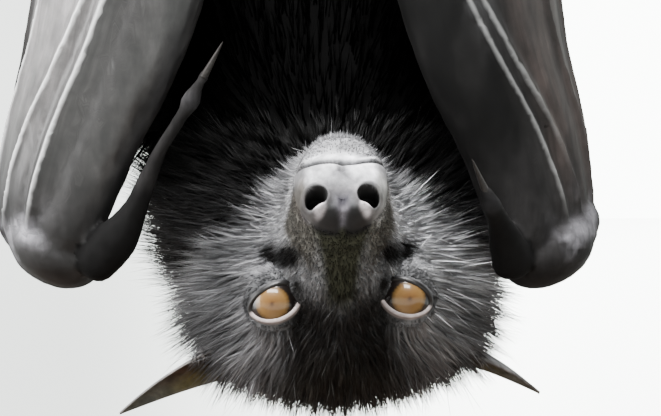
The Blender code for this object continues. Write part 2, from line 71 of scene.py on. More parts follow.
# forward, half width, top, widest level, underside, depth of the coat
HEAD_STATIONS = (
    (38.2, 2.8, -5.6, -9.0, -11.5, 0.0),
    (37.0, 6.9, -2.9, -9.0, -15.7, 0.0),
    (33.5, 9.3, -1.2, -9.5, -21.0, 0.3),
    (28.0, 10.2, 0.0, -10.0, -23.6, 0.7),
    (20.0, 11.2, 1.8, -10.0, -26.0, 1.0),
    (12.0, 12.6, 5.2, -10.0, -28.0, 1.3),
    (5.0, 15.2, 9.6, -9.5, -30.0, 1.8),
    (-3.0, 22.4, 15.4, -9.0, -31.5, 3.4),
    (-12.0, 30.4, 19.0, -9.0, -32.0, 5.5),
    (-22.0, 33.0, 16.0, -9.0, -30.0, 6.5),
    (-31.0, 28.5, 10.4, -8.0, -24.0, 6.5),
    (-38.0, 18.0, 3.4, -7.0, -16.0, 6.0),
    (-41.0, 6.0, -3.0, -7.0, -10.0, 3.0),
)
HEAD_RINGS = (14, 18, 22, 26, 28, 28, 26, 16, 10, 8, 6, 4)
HEAD_AROUND = 188

# height, centre x, centre y, half width, half depth, depth of the coat
TRUNK_STATIONS = (
    (-11.0, 7.0, 19.0, 9.0, 6.0, 4.0),
    (-8.0, 7.0, 18.5, 18.0, 11.0, 4.0),
    (1.0, 7.0, 18.0, 30.0, 18.0, 4.5),
    (14.0, 6.0, 16.5, 36.5, 25.0, 5.0),
    (30.0, 3.0, 15.5, 36.0, 28.5, 5.0),
    (52.0, 1.0, 15.0, 35.0, 29.0, 5.0),
    (80.0, 0.0, 14.5, 34.0, 28.0, 5.0),
    (115.0, 0.0, 14.0, 31.0, 25.0, 5.0),
    (150.0, 0.0, 13.5, 27.5, 22.5, 5.5),
    (180.0, 0.0, 13.0, 22.0, 19.0, 4.5),
    (198.0, 0.0, 12.0, 15.0, 14.0, 3.5),
    (207.0, 0.0, 11.0, 7.0, 7.0, 2.5),
)
# every limb: x (outward), y, height, half width, half depth
FOREARM_STATIONS = (
    (46.2, -10.0, 15.0, 6.9, 6.6),
    (40.3, -14.0, 32.0, 7.6, 7.0),
    (29.0, -23.0, 62.0, 9.0, 8.0),
    (18.6, -28.0, 116.0, 8.6, 8.2),
    (10.4, -25.0, 160.0, 7.0, 7.2),
    (9.8, -22.0, 172.0, 5.0, 5.4),
)
UPPER_ARM_STATIONS = (
    (33.0, 3.0, 40.0, 5.6, 7.0),
    (32.0, 2.0, 52.0, 8.0, 8.0),
    (36.0, -8.0, 80.0, 6.8, 6.8),
    (26.0, -13.0, 125.0, 6.0, 5.2),
    (14.0, -18.0, 165.0, 5.0, 4.2),
)
# height, x where the fingers begin, outermost x, y of the front, rear x, y of the rear,
# thickness
HAND_STATIONS = (
    (8.0, 48.0, 58.0, -6.0, 50.0, 10.0, 7.0),
    (16.0, 48.5, 64.5, -14.0, 53.0, 20.0, 10.0),
    (34.0, 42.5, 63.6, -20.0, 54.5, 30.0, 9.5),
    (62.0, 32.0, 57.0, -29.0, 52.0, 38.0, 9.0),
    (116.0, 20.5, 52.0, -34.0, 46.0, 45.0, 8.5),
    (165.0, 13.5, 46.0, -31.0, 36.0, 42.0, 8.0),
    (200.0, 16.0, 42.5, -23.0, 31.0, 36.0, 5.5),
    (235.0, 25.0, 42.0, -12.0, 31.0, 29.0, 4.0),
    (268.0, 28.0, 36.0, -1.0, 29.0, 26.0, 3.0),
    (292.0, 25.8, 28.0, 13.0, 26.5, 23.0, 1.8),
)
HAND_TOP = 196.0
# where each finger runs round the wing: at the height of its middle, and at the wrist
FINGER_LINES = {
    LEFT: ((0.095, 0.165), (0.170, 0.360), (0.42, 0.50), (0.66, 0.70)),
    RIGHT: ((0.050, 0.215), (0.100, 0.340), (0.42, 0.50), (0.66, 0.70)),
}
FINGERS_SPREAD = (16.0, 62.0)
FINGER_HEIGHT = 0.95
FINGER_WIDTH = 0.018
LINE_WIDTH = 0.95                     # of the painted highlight line along each finger
KNUCKLE_LEVEL = 122.0
KNUCKLE_RISE = 1.3
KNUCKLE_SPAN = 8.0
PLEAT_DEPTH = 1.1
PLEAT_COUNT = 3.5
SPREAD = {LEFT: 3.0, RIGHT: -3.0}
LEAN = {LEFT: 3.0, RIGHT: 0.5}
LEAN_HEIGHT = 62.0

THUMB_STATIONS = {
    LEFT: (
        (43.0, -12.0, 8.0, 4.8, 4.0),
        (37.8, -16.5, 13.0, 4.4, 3.2),
        (34.2, -19.5, 18.8, 2.6, 2.3),
        (31.6, -22.0, 24.5, 2.0, 1.9),
        (28.6, -25.0, 31.0, 1.4, 1.4),
        (24.0, -28.5, 38.0, 1.35, 1.35),
        (22.2, -30.0, 41.0, 2.0, 1.9),
        (20.8, -30.8, 43.6, 1.15, 1.15),
        (19.3, -31.5, 46.2, 1.0, 1.0),
    ),
    RIGHT: (
        (44.0, -14.0, 8.0, 4.6, 4.0),
        (42.0, -19.0, 13.0, 3.4, 3.0),
        (40.3, -24.5, 17.0, 2.2, 2.0),
        (38.7, -30.0, 20.0, 1.9, 1.8),
        (37.4, -31.6, 22.8, 1.1, 1.1),
    ),
}
THUMB_KNUCKLE = {LEFT: 6, RIGHT: 3}
# The knuckles' pale skin shows on both thumbs; the left one is painted paler as light.
THUMB_KNUCKLE_PALE_AND_LIT = {LEFT: 0.45, RIGHT: 0.10}
THUMB_CLAW_LENGTH = 6.4
CLAW_RINGS = 24
WRIST_STATIONS = (
    (41.5, -6.0, 10.6, 2.2, 2.6),
    (44.0, -6.0, 10.0, 4.8, 7.2),
    (48.0, -4.5, 9.6, 7.6, 11.0),
    (54.0, -1.5, 11.6, 7.2, 11.0),
    (58.0, 1.0, 16.0, 5.0, 8.0),
)
LEG_STATIONS = (
    (12.0, 12.0, 186.0, 7.0, 7.0),
    (17.0, 9.0, 204.0, 8.5, 8.0),
    (23.0, 5.0, 224.0, 6.5, 6.5),
    (26.0, 3.5, 241.0, 5.2, 5.2),
    (25.0, 9.0, 260.0, 4.9, 4.9),
    (22.5, 15.5, 280.0, 3.8, 3.8),
    (21.2, 18.5, 293.0, 3.4, 3.4),
)
EAR_LENGTH = 32.5
EAR_WAY = {LEFT: (0.83, 0.36, -0.51), RIGHT: (0.674, 0.62, -0.42)}
EAR_OPENS = {LEFT: (0.0, -0.54, -0.84), RIGHT: (0.0, 0.0, -1.0)}
EAR_HALF_WIDTH = 6.6
EAR_THICKNESS = 0.8
EAR_CUP = 4.2
EAR_BOW = 1.0
EAR_ROOT = (-15.0, 21.0, 1.6)
EAR_STEPS, EAR_ACROSS = 56, 26
RUFF_CENTRE = 9.0
ANKLE_HEIGHT = 246.0

# what a part of the flesh is, and which part of the skin a point is on
HIDE, LEATHER, WRIST, THUMB = 0, 1, 2, 3
BODY, HEAD, EAR, LID = 0, 1, 2, 3
WING_OUTER, WING_INNER = 120, 40      # points round each face of the folded hand
FAR_OFF = 99.0
FLESH_TRIANGLES = 98000
EYE_RINGS, EYE_AROUND = 60, 64

# hair: its length by place along the head, and how near the eyes it is kept short
FUR_FORWARD = (-30, -14, -5, 2, 9, 16, 24, 31, 38)
FUR_LENGTH = (11.0, 12.0, 9.5, 5.6, 3.2, 2.1, 1.3, 0.9, 0.8)
EYE_CLEARANCE = 16.0
FACE_COAT, GREY_COAT, BLACK_COAT, GUARD_COAT = 0, 1, 2, 3
FIRST_SEED = 21
TUFT_PATCH = 0.003
MOST_TRIANGLES = 200000

# colours, as shares of linear light
# The first lid colour is painted shadow on the lid rims' shaded side; the second is the rims' own
# pale colour.
LID_PAINTED_SHADOW, LID_PALE = (0.006, 0.005, 0.005), (0.44, 0.365, 0.35)
WING_COLOURS = {
    "hide": (0.005, 0.0048, 0.0047),
    "fold": (0.10, 0.098, 0.10),
    "front edge": (0.060, 0.060, 0.063),
    "thumb tip": (0.013, 0.012, 0.012),
}
EAR_COLOURS = {
    "hollow": (0.045, 0.026, 0.018),
    "far edge": (0.105, 0.088, 0.03),
    "tip": (0.12, 0.125, 0.11),
    "back": (0.16, 0.155, 0.165),
    "rim": (0.20, 0.19, 0.18),
}
HEAD_COLOURS = {
    "plain": (0.19, 0.19, 0.198),
    "nape": (0.115, 0.114, 0.117),
    "jaw": (0.33, 0.33, 0.342),
    "lit right cheek": (0.38, 0.38, 0.392),
    "forehead": (0.021, 0.0195, 0.019),
    "crown": (0.040, 0.038, 0.034),
    "muzzle": (0.095, 0.090, 0.080),
    "bridge": (0.036, 0.037, 0.025),
    "corner shade": (0.004, 0.0035, 0.003),
    "throat": (0.42, 0.42, 0.435),
    "lower lip": (0.56, 0.56, 0.575),
    "chin": (0.19, 0.19, 0.197),
    "hollow": (0.003, 0.0025, 0.0025),
    "pad": (0.20, 0.197, 0.205),
    "left flank": (0.075, 0.068, 0.060),
    "lit right flank": (0.30, 0.297, 0.29),
    "upper lip": (0.52, 0.52, 0.54),
    "groove": (0.070, 0.066, 0.080),
    "spot": (0.022, 0.020, 0.025),
    "groove line": (0.045, 0.040, 0.048),
    "nose top": (0.009, 0.0085, 0.009),
    "nose ridge": (0.21, 0.195, 0.22),
    "rim": (0.11, 0.100, 0.105),
    "hole": (0.0025, 0.0022, 0.0022),
    "curl": (0.88, 0.80, 0.83),
    "mouth": (0.018, 0.016, 0.017),
    "lip shade": (0.035, 0.034, 0.038),
}

# stage, in metres; only the floor's half side is in millimetres
FLOOR_REACH = 30000.0
LIGHTS_AIM = (0, 0, 0.14)
CAMERA_ASIDE = -0.0019
CAMERA_ABOVE = 0.0191


class SkinSettings(bpy.types.PropertyGroup):
    """Sizes and colours of the skin."""

    voxel: bpy.props.FloatProperty(
        name="Skin grain", description="Size of the grid the limbs are fused on",
        default=0.00062, min=0.0004, unit="LENGTH")
    leather: bpy.props.FloatVectorProperty(
        name="Wing leather", description="Colour of the bare wing skin",
        default=(0.019, 0.0178, 0.0178), size=3, subtype="COLOR", min=0, max=1)
    # Painted light: this pale colour is laid on the front of the left wing where light falls on
    # it.
    painted_light_leather: bpy.props.FloatVectorProperty(
        name="Painted light on wing", description="Colour painted on the front of the left wing as light",
        default=(0.17, 0.158, 0.158), size=3, subtype="COLOR", min=0, max=1)
    outer_leather: bpy.props.FloatVectorProperty(
        name="Outer wing", description="Colour of the browner skin at the wing's edge",
        default=(0.027, 0.0205, 0.0188), size=3, subtype="COLOR", min=0, max=1)
    knuckle: bpy.props.FloatVectorProperty(
        name="Knuckles", description="Colour of the pale skin over the joints",
        default=(0.17, 0.165, 0.18), size=3, subtype="COLOR", min=0, max=1)
    eye_radius: bpy.props.FloatProperty(
        name="Eyeball radius", description="Radius of each eyeball",
        default=0.0061, unit="LENGTH")
    eye_spacing: bpy.props.FloatProperty(
        name="Eye spacing", description="Distance between the eyeballs' centres",
        default=0.0266, unit="LENGTH")
    iris: bpy.props.FloatVectorProperty(
        name="Iris", description="Colour of the iris",
        default=(0.150, 0.082, 0.026), size=3, subtype="COLOR", min=0, max=1)


class CoatSettings(bpy.types.PropertyGroup):
    """Thickness and colours of the coat."""

    face_density: bpy.props.FloatProperty(
        name="Face tufts", description="Tufts per square metre on the face",
        default=3.4e6, min=0)
    head_density: bpy.props.FloatProperty(
        name="Head tufts", description="Tufts per square metre on crown and cheeks",
        default=1.4e6, min=0)
    shoulder_density: bpy.props.FloatProperty(
        name="Shoulder tufts", description="Tufts per square metre on the shoulders",
        default=8.0e5, min=0)
    body_density: bpy.props.FloatProperty(
        name="Body tufts", description="Tufts per square metre on the body",
        default=2.6e5, min=0)
    guard_density: bpy.props.FloatProperty(
        name="Guard hairs", description="Single long hairs per square metre on the head",
        default=1.6e5, min=0)
    chin_density: bpy.props.FloatProperty(
        name="Chin hairs", description="Single loose hairs per square metre on the chin",
        default=6.5e5, min=0)
    whisker_density: bpy.props.FloatProperty(
        name="Whiskers", description="Whiskers per square metre on the muzzle",
        default=1.4e4, min=0)
    root_shade: bpy.props.FloatProperty(
        name="Root shade", description="How bright a hair is at its root, against its tip",
        default=0.2, min=0, max=1)
    face_root: bpy.props.FloatProperty(
        name="Face root shade", description="The same for the short hair of the face",
        default=0.6, min=0, max=1)
    black: bpy.props.FloatVectorProperty(
        name="Body coat", description="Colour of the coat on chest, belly and back",
        default=(0.0045, 0.0043, 0.0042), size=3, subtype="COLOR", min=0, max=1)


class StageSettings(bpy.types.PropertyGroup):
    """Camera and light."""

    distance: bpy.props.FloatProperty(
        name="Camera distance", description="From the eyes to the camera",
        default=0.75, unit="LENGTH")
    view_width: bpy.props.FloatProperty(
        name="View width", description="Width the camera sees at the eyes",
        default=0.136, unit="LENGTH")
    room: bpy.props.FloatProperty(
        name="Room light", description="Strength of the light from the front", default=0.28)
    wall: bpy.props.FloatProperty(
        name="Wall light", description="Strength of the pale wall behind", default=2.7)
    top_light: bpy.props.FloatProperty(
        name="Top light", description="Power of the soft light overhead", default=110.0,
        unit="POWER")
    window_light: bpy.props.FloatProperty(
        name="Window light", description="Power of the wide light above the camera",
        default=55.0, unit="POWER")
    side_light: bpy.props.FloatProperty(
        name="Side light", description="Power of the soft light at the side", default=65.0,
        unit="POWER")


def up(height):
    """Height above the eye line as height above the floor."""
    return EYE_LINE_Z + height


def smooth(low, high, value):
    """Smooth step of a number or an array."""
    t = np.clip((value - low) / (high - low), 0, 1)
    return t * t * (3 - 2 * t)


def unit(vectors):
    """Vectors scaled to length one."""
    return vectors / np.maximum(np.linalg.norm(vectors, axis=-1, keepdims=True), 1e-9)


def spline(table, places):
    """Catmull-Rom rows of a station table at the given places."""
    rows = np.array(table, dtype=float)
    last = len(rows) - 1
    places = np.clip(np.asarray(places, dtype=float), 0, last - 1e-9)
    at = places.astype(int)
    t = (places - at)[:, None]
    a, b, c, d = (rows[np.clip(at + k, 0, last)] for k in (-1, 0, 1, 2))
    return 0.5 * (2 * b + (c - a) * t + (2 * a - 5 * b + 4 * c - d) * t * t
                  + (3 * b - a - 3 * c + d) * t ** 3)


def noise(points, size, seed, octaves=3):
    """Smooth repeatable noise of about -1 to 1 from summed plane waves."""
    draw = np.random.default_rng(seed)
    total = np.zeros(len(points))
    weight = 1.0
    for _ in range(octaves):
        for _ in range(7):
            way = draw.normal(size=3)
            way *= math.tau / (size * np.linalg.norm(way)) * draw.uniform(0.6, 1.5)
            total += weight * np.sin(points @ way + draw.uniform(0, math.tau)) / 3.2
        size *= 0.5
        weight *= 0.5
    return total


def head_matrix():
    """From forward, sideways and crownward of the head to the world."""
    forward = Vector((0, -math.cos(HEAD_PITCH), math.sin(HEAD_PITCH)))
    crown = Vector((0, -math.sin(HEAD_PITCH), -math.cos(HEAD_PITCH)))
    axes = Matrix((forward, Vector((1, 0, 0)), crown)).transposed()
    return np.array(Matrix.Rotation(-HEAD_ROLL, 3, "Y") @ axes)


HEAD_AXES = head_matrix()
HEAD_ORIGIN = np.array((FACE_X, FACE_Y, EYE_LINE_Z))


def to_world(points):
    """Head coordinates to world millimetres."""
    points = np.array(points, dtype=float)
    points[..., 1] += MUZZLE_BEND * np.maximum(points[..., 0], 0)
    return points @ HEAD_AXES.T + HEAD_ORIGIN


def to_head(points):
    """World millimetres to head coordinates."""
    points = (np.asarray(points) - HEAD_ORIGIN) @ HEAD_AXES
    points[..., 1] -= MUZZLE_BEND * np.maximum(points[..., 0], 0)
    return points


def add_object(name, data):
    """A new object in the scene, at the origin."""
    obj = bpy.data.objects.new(name, data)
    bpy.context.scene.collection.objects.link(obj)
    return obj


def round_shading(mesh):
    """Shade every face smooth."""
    mesh.polygons.foreach_set("use_smooth", [True] * len(mesh.polygons))


def mesh_object(name, points, faces):
    """A mesh object from millimetre points."""
    mesh = bpy.data.meshes.new(name)
    mesh.from_pydata((np.asarray(points) * MM).tolist(), [], faces)
    mesh.update()
    round_shading(mesh)
    return add_object(name, mesh)


def grid_faces(rows, around):
    """Faces of a closed tube of rings, each end closed by one face."""
    faces = []
    for i in range(rows - 1):
        for j in range(around):
            k = (j + 1) % around
            faces.append((i * around + j, i * around + k,
                          (i + 1) * around + k, (i + 1) * around + j))
    faces.append(tuple(range(around))[::-1])
    faces.append(tuple((rows - 1) * around + j for j in range(around)))
    return faces


def outward(obj):
    """Turn every face of a closed mesh outward."""
    shape = bmesh.new()
    shape.from_mesh(obj.data)
    bmesh.ops.recalc_face_normals(shape, faces=shape.faces)
    shape.to_mesh(obj.data)
    shape.free()
    return obj


def tube_points(rows, around, side=RIGHT, lean=0.0, rounded=True):
    """Rings of a limb along its path."""
    rows = np.array(rows, dtype=float)
    if rounded:
        rows = round_ends(rows)
    spine = np.stack((side * (rows[:, 0] + lean * np.maximum(1 - rows[:, 2] / LEAN_HEIGHT,
                                                             0)),
                      rows[:, 1], up(rows[:, 2])), axis=1)
    along = unit(np.gradient(spine, axis=0))
    across = unit(np.cross(along, (0, -1, 0)))
    deep = np.cross(along, across)
    a = np.linspace(0, math.tau, around, endpoint=False)
    return (spine[:, None] + across[:, None] * (rows[:, 3:4] * np.cos(a))[:, :, None]
            + deep[:, None] * (rows[:, 4:5] * np.sin(a))[:, :, None]).reshape(-1, 3)


def round_ends(rows):
    """Close a path with shrinking stations."""
    out = [row for row in rows]
    for end, inner in ((0, 1), (-1, -2)):
        step = rows[end][:3] - rows[inner][:3]
        step = step / np.linalg.norm(step)
        reach = min(rows[end][3], rows[end][4])
        extra = []
        for turn in (0.3, 0.55, 0.75, 0.9, 0.975):
            row = rows[end].copy()
            row[:3] += step * reach * math.sin(turn * math.pi / 2) * 0.9
            row[3:5] *= math.cos(turn * math.pi / 2)
            extra.append(row)
        out = extra[::-1] + out if end == 0 else out + extra
    return np.array(out)


def shell(name, points, around):
    """A tube of rings as a closed mesh object with its faces outward."""
    return outward(mesh_object(name, points, grid_faces(len(points) // around, around)))


def tube(name, table, side=RIGHT, per=8, around=24, lean=0.0):
    """A limb as a closed mesh object, with the given rings per station."""
    rows = spline(table, np.linspace(0, len(table) - 1, (len(table) - 1) * per + 1))
    return shell(name, tube_points(rows, around, side, lean), around)


def join(objects, name):
    """Join meshes into one object."""
    shape = bmesh.new()
    for obj in objects:
        shape.from_mesh(obj.data)
        bpy.data.objects.remove(obj, do_unlink=True)
    mesh = bpy.data.meshes.new(name)
    shape.to_mesh(mesh)
    shape.free()
    round_shading(mesh)
    return add_object(name, mesh)


def bake_modifiers(obj):
    """Turn an object's modifiers into its plain mesh."""
    graph = bpy.context.evaluated_depsgraph_get()
    mesh = bpy.data.meshes.new_from_object(obj.evaluated_get(graph))
    obj.modifiers.clear()
    obj.data = mesh
    return obj


def coords(obj):
    """Vertex places in millimetres."""
    out = np.empty(len(obj.data.vertices) * 3)
    obj.data.vertices.foreach_get("co", out)
    return out.reshape(-1, 3) / MM


def set_coords(obj, points):
    """Move the vertices to places in millimetres."""
    obj.data.vertices.foreach_set("co", (points * MM).ravel())
    obj.data.update()


def normals(obj):
    """Vertex normals."""
    out = np.empty(len(obj.data.vertices) * 3)
    obj.data.vertices.foreach_get("normal", out)
    return out.reshape(-1, 3)


def store(mesh, name, values, kind="FLOAT"):
    """Write a number, vector or colour at every point."""
    field = {"FLOAT": "value", "FLOAT_COLOR": "color"}.get(kind, "vector")
    layer = mesh.attributes.get(name) or mesh.attributes.new(name, kind, "POINT")
    layer.data.foreach_set(field, np.asarray(values, dtype=np.float32).ravel())


def store_colour(mesh, name, tone):
    """Write an opaque colour at every point."""
    store(mesh, name, np.hstack((tone, np.ones((len(tone), 1)))), "FLOAT_COLOR")


def read(mesh, name, size=1):
    """Numbers, vectors or colours of every point."""
    layer = mesh.attributes[name]
    out = np.empty(len(mesh.vertices) * size, dtype=np.float32)
    layer.data.foreach_get({1: "value", 3: "vector", 4: "color"}[size], out)
    return out.reshape(-1, size) if size > 1 else out


class Paint:
    """Colours laid one over another on a set of points, some named in a palette."""

    def __init__(self, base, palette):
        self.tone = base
        self.palette = palette

    def lay(self, colour, mask):
        """Cover with a colour as far as the mask says, from 0 to 1."""
        mask = np.clip(mask, 0, 1)[:, None]
        colour = np.array(self.palette[colour] if isinstance(colour, str) else colour)
        self.tone = self.tone * (1 - mask) + colour * mask

    def scale(self, factor):
        """Brighten or darken each point by its own factor."""
        self.tone = self.tone * factor[:, None]


# ---------------------------------------------------------------- head

EYE_AXIS_TURN = math.radians(-1)      # the lids open a little towards the nose
EYE_AXIS_DROP = math.radians(-3)      # and a little towards the chin
GAZE_TURN = math.radians(7)
GAZE_DROP = math.radians(4)
LID_SLANT = math.radians(22)
LID_HALF_WIDTH = math.radians(60)
LID_HALF_HEIGHT = math.radians(31)
LID_REACH = math.radians(80)          # how far the lid patch spreads over the ball
LID_STEPS = 120
MOUTH_LEVEL = -13.3
NOSTRIL = (36.4, 5.1, -6.1)
NOSTRIL_HALF = (2.15, 2.0)
CURL = (-0.60, 2.15, 1.15, 1.0)       # its centre and half size from the nostril's
MUZZLE_HALF_WIDTH = 6.7
HOLLOW_ACROSS = 12.6                  # the hollows beside the muzzle, painted dark as shade
HOLLOW_LEVEL = 10.0
# centre (forward, outward, crownward), squash lengthwise, reach, push out, push up
FACE_DENTS = (
    ((11.0, 10.5, -1.5), 0.8, 4.4, -2.4, 0.0),
    ((7.6, 10.2, 0.2), 0.9, 3.5, -2.7, 0.0),
    ((3.0, 9.0, 9.0), 1.0, 4.0, 0.0, 1.0),
)
# degrees outside the almond, spread towards a circle, height above the ball
LID_PROFILE = (
    (-1.5, 0.0, -0.30), (-0.8, 0.0, 0.08), (0.0, 0.0, 0.30), (1.0, 0.0, 0.45),
    (2.2, 0.01, 0.55), (3.6, 0.03, 0.58), (5.0, 0.06, 0.52), (6.5, 0.11, 0.46),
    (8.0, 0.17, 0.44), (9.0, 0.24, 0.50), (10.0, 0.33, 0.66), (10.5, 0.43, 0.80),
    (11.0, 0.55, 0.80), (11.0, 0.68, 0.66), (11.0, 0.82, 0.42), (11.0, 0.94, 0.02),
    (11.0, 1.0, -0.6),
)
LID_MARGIN_RINGS = 6
SOCKET_FLOOR, SOCKET_REACH = 64, 104  # degrees off the axis: end of the floor, and of all
SOCKET_DEPTH, SOCKET_RIM = 1.6, 0.5   # below and above the ball's surface


def eye_frame(side, settings):
    """Centre, axis, outward and crownward directions of one eye, in head coordinates."""
    centre = np.array((EYE_FORWARD, side * settings.eye_spacing / MM / 2, 0.0))
    tilt = HEAD_PITCH + EYE_AXIS_DROP
    look = np.array((math.cos(tilt), 0.0, math.sin(tilt)))
    aside = np.array((0.0, side, 0.0))
    axis = unit(look * math.cos(EYE_AXIS_TURN) + aside * math.sin(EYE_AXIS_TURN))
    out = unit(aside - axis * (aside @ axis))
    crown = np.cross(axis, out)
    if crown[2] < 0:
        crown = -crown
    slanted_out = out * math.cos(LID_SLANT) + crown * math.sin(LID_SLANT)
    slanted_up = crown * math.cos(LID_SLANT) - out * math.sin(LID_SLANT)
    return centre, axis, slanted_out, slanted_up


def almond(settings, side, widen, spread):
    """An eye's centre and directions round it: an almond that spreads to a circle."""
    centre, axis, out, crown = eye_frame(side, settings)
    t = np.linspace(0, math.tau, LID_STEPS, endpoint=False)
    c, s = np.cos(t), np.sin(t)
    point = 1 - spread
    wide = (LID_HALF_WIDTH + widen) * point + LID_REACH * spread
    high = (LID_HALF_HEIGHT + widen) * point + LID_REACH * spread
    a = wide * c
    b = high * np.sign(s) * np.abs(s) ** (1 + point * (0.32 - 0.22 * c))
    b *= 1 + 0.17 * point * np.sign(s)
    turn = np.hypot(a, b)
    flat = (out * a[:, None] + crown * b[:, None]) / np.maximum(turn, 1e-6)[:, None]
    return centre, axis * np.cos(turn)[:, None] + flat * np.sin(turn)[:, None]


def head_turns():
    """Turns round the head, gathered where the eyes and the nostrils are."""
    fine = np.linspace(0, math.tau, 4000)
    crowd = 1.0 + sum(1.5 * np.exp(-((fine - spot) / 0.30) ** 2)
                      for spot in (0.56, math.pi - 0.56))
    crowd += 0.6 * np.exp(-((fine - 1.5 * math.pi) / 0.5) ** 2)
    total = np.concatenate(((0,), np.cumsum((crowd[1:] + crowd[:-1]) / 2)))
    even = np.linspace(0, total[-1], HEAD_AROUND, endpoint=False)
    return np.interp(even, total, fine)


def head_rings():
    """The head's surface in head coordinates, before it is sculpted."""
    places = [0.0]
    for i, count in enumerate(HEAD_RINGS):
        places += list(i + (np.arange(count) + 1) / count)
    rows = spline(HEAD_STATIONS, places)
    a = head_turns()
    c, s = np.cos(a), np.sin(a)
    forward, half, top, level, under, coat = (rows[:, k:k + 1] for k in range(6))
    half, top, under = half - coat, top - coat, under + coat * 0.8
    reach = np.where(s > 0, top - level, level - under)
    pinch = 1 - 0.10 * np.maximum(s, 0) * np.clip((forward + 2) / 20, 0, 1)
    side = half * pinch * np.sign(c) * np.abs(c) ** 0.9
    crown = level + reach * np.sign(s) * np.abs(s) ** 0.95
    points = np.stack((np.broadcast_to(forward, side.shape), side, crown), axis=2)
    return points.reshape(-1, 3)


def press_face(p, rest):
    """Hollow the cheeks and the eyes' inner corners, raise the brow, narrow the muzzle."""
    f, l, u = rest.T
    for side in (LEFT, RIGHT):
        for (forward, aside, crown), squash, reach, push_out, push_up in FACE_DENTS:
            centre = np.array((forward, side * aside, crown))
            away = np.linalg.norm((p - centre) * (squash, 1.0, 1.0), axis=1)
            near = np.exp(-(away / reach) ** 2)
            p[:, 1] += side * push_out * near
            p[:, 2] += push_up * near
    pinch = smooth(7, 10, f) * smooth(20, 14, f) * smooth(-6, -2, u) * 0.9
    wide = np.maximum(np.abs(p[:, 1]) - MUZZLE_HALF_WIDTH, 0)
    p[:, 1] -= np.sign(l) * wide * pinch


def sink_eyes(p, settings):
    """Press a round socket into the head behind each eyeball."""
    radius = settings.eye_radius / MM
    for side in (LEFT, RIGHT):
        centre, axis, _, _ = eye_frame(side, settings)
        v = p - centre
        r = np.linalg.norm(v, axis=1)
        d = v / np.maximum(r, 1e-6)[:, None]
        turn = np.arccos(np.clip(d @ axis, -1, 1))
        sunk = 1 - smooth(math.radians(SOCKET_FLOOR), LID_REACH, turn)
        near = 1 - smooth(radius + 7.0, radius + 10.0, r)
        socket = (radius - SOCKET_DEPTH) * sunk + (radius + SOCKET_RIM) * (1 - sunk)
        weight = (1 - smooth(LID_REACH, math.radians(SOCKET_REACH), turn)) * near
        r_new = r + (socket - r) * weight
        move = turn < math.radians(SOCKET_REACH + 2)
        p[move] = (centre + d * r_new[:, None])[move]


def shape_nose(p, rest):
    """Tube-like nostrils with a curl at the lower rim, parted by a groove."""
    f, l, u = rest.T
    front = smooth(30.5, 34.0, f)
    for side in (LEFT, RIGHT):
        x = (p[:, 1] - side * NOSTRIL[1]) * side
        y = p[:, 2] - NOSTRIL[2]
        d, curl = nostril_shape(x, y)
        hole = (1 - smooth(0.72, 1.02, d)) * (1 - curl)
        rim = np.exp(-((d - 1.24) / 0.26) ** 2)
        p[:, 0] += front * (0.85 * rim + 1.0 * curl - 5.0 * hole)
        p[:, 1] += front * side * 0.35 * rim
        alar = np.exp(-(((x - 3.4) / 0.8) ** 2 + ((y + 0.2) / 2.6) ** 2))
        p[:, 0] -= front * 1.1 * alar
        pad = np.exp(-(((x + 1.2) / 2.5) ** 2 + ((y + 4.6) / 1.7) ** 2))
        p[:, 0] += front * 0.85 * pad
    groove = np.exp(-(l / 0.75) ** 2) * smooth(-14.0, -11.5, u) * (1 - smooth(-2.6, -0.9, u))
    p[:, 0] -= 1.15 * front * groove
    top_groove = np.exp(-(l / 1.0) ** 2) * smooth(-3.6, -1.8, u) * smooth(27, 33, f)
    p[:, 2] -= 0.9 * top_groove


def close_mouth(p, rest):
    """The line of the closed mouth, with a fold of lip above and below it."""
    f, l, u = rest.T
    mouth_gap = u - mouth_line(l)
    lip = np.exp(-(mouth_gap / 0.34) ** 2) * smooth(8, 13, f)
    inward = unit(np.stack((np.where(f > 33, 1.0, 0.25), np.clip(l / 5, -1, 1),
                            np.zeros_like(l)), axis=1))
    p -= inward * (1.25 * lip)[:, None]
    fold = np.exp(-((mouth_gap - 1.15) / 0.7) ** 2) + 0.7 * np.exp(
        -((mouth_gap + 1.0) / 0.6) ** 2)
    p += inward * (0.32 * fold * smooth(10, 16, f))[:, None]


def nostril_shape(x, y):
    """Distance from a nostril's middle in its own radii, and the curl at its lower rim."""
    d = np.hypot(x / NOSTRIL_HALF[0], y / NOSTRIL_HALF[1])
    curl = np.exp(-(((x - CURL[0]) / CURL[2]) ** 2 + ((y - CURL[1]) / CURL[3]) ** 2) ** 2)
    return d, curl


def mouth_line(sideways):
    """Level of the closed mouth, lowest on the snout's middle."""
    return MOUTH_LEVEL - 0.016 * sideways ** 2 + 0.3 * np.sin(sideways * 0.62)


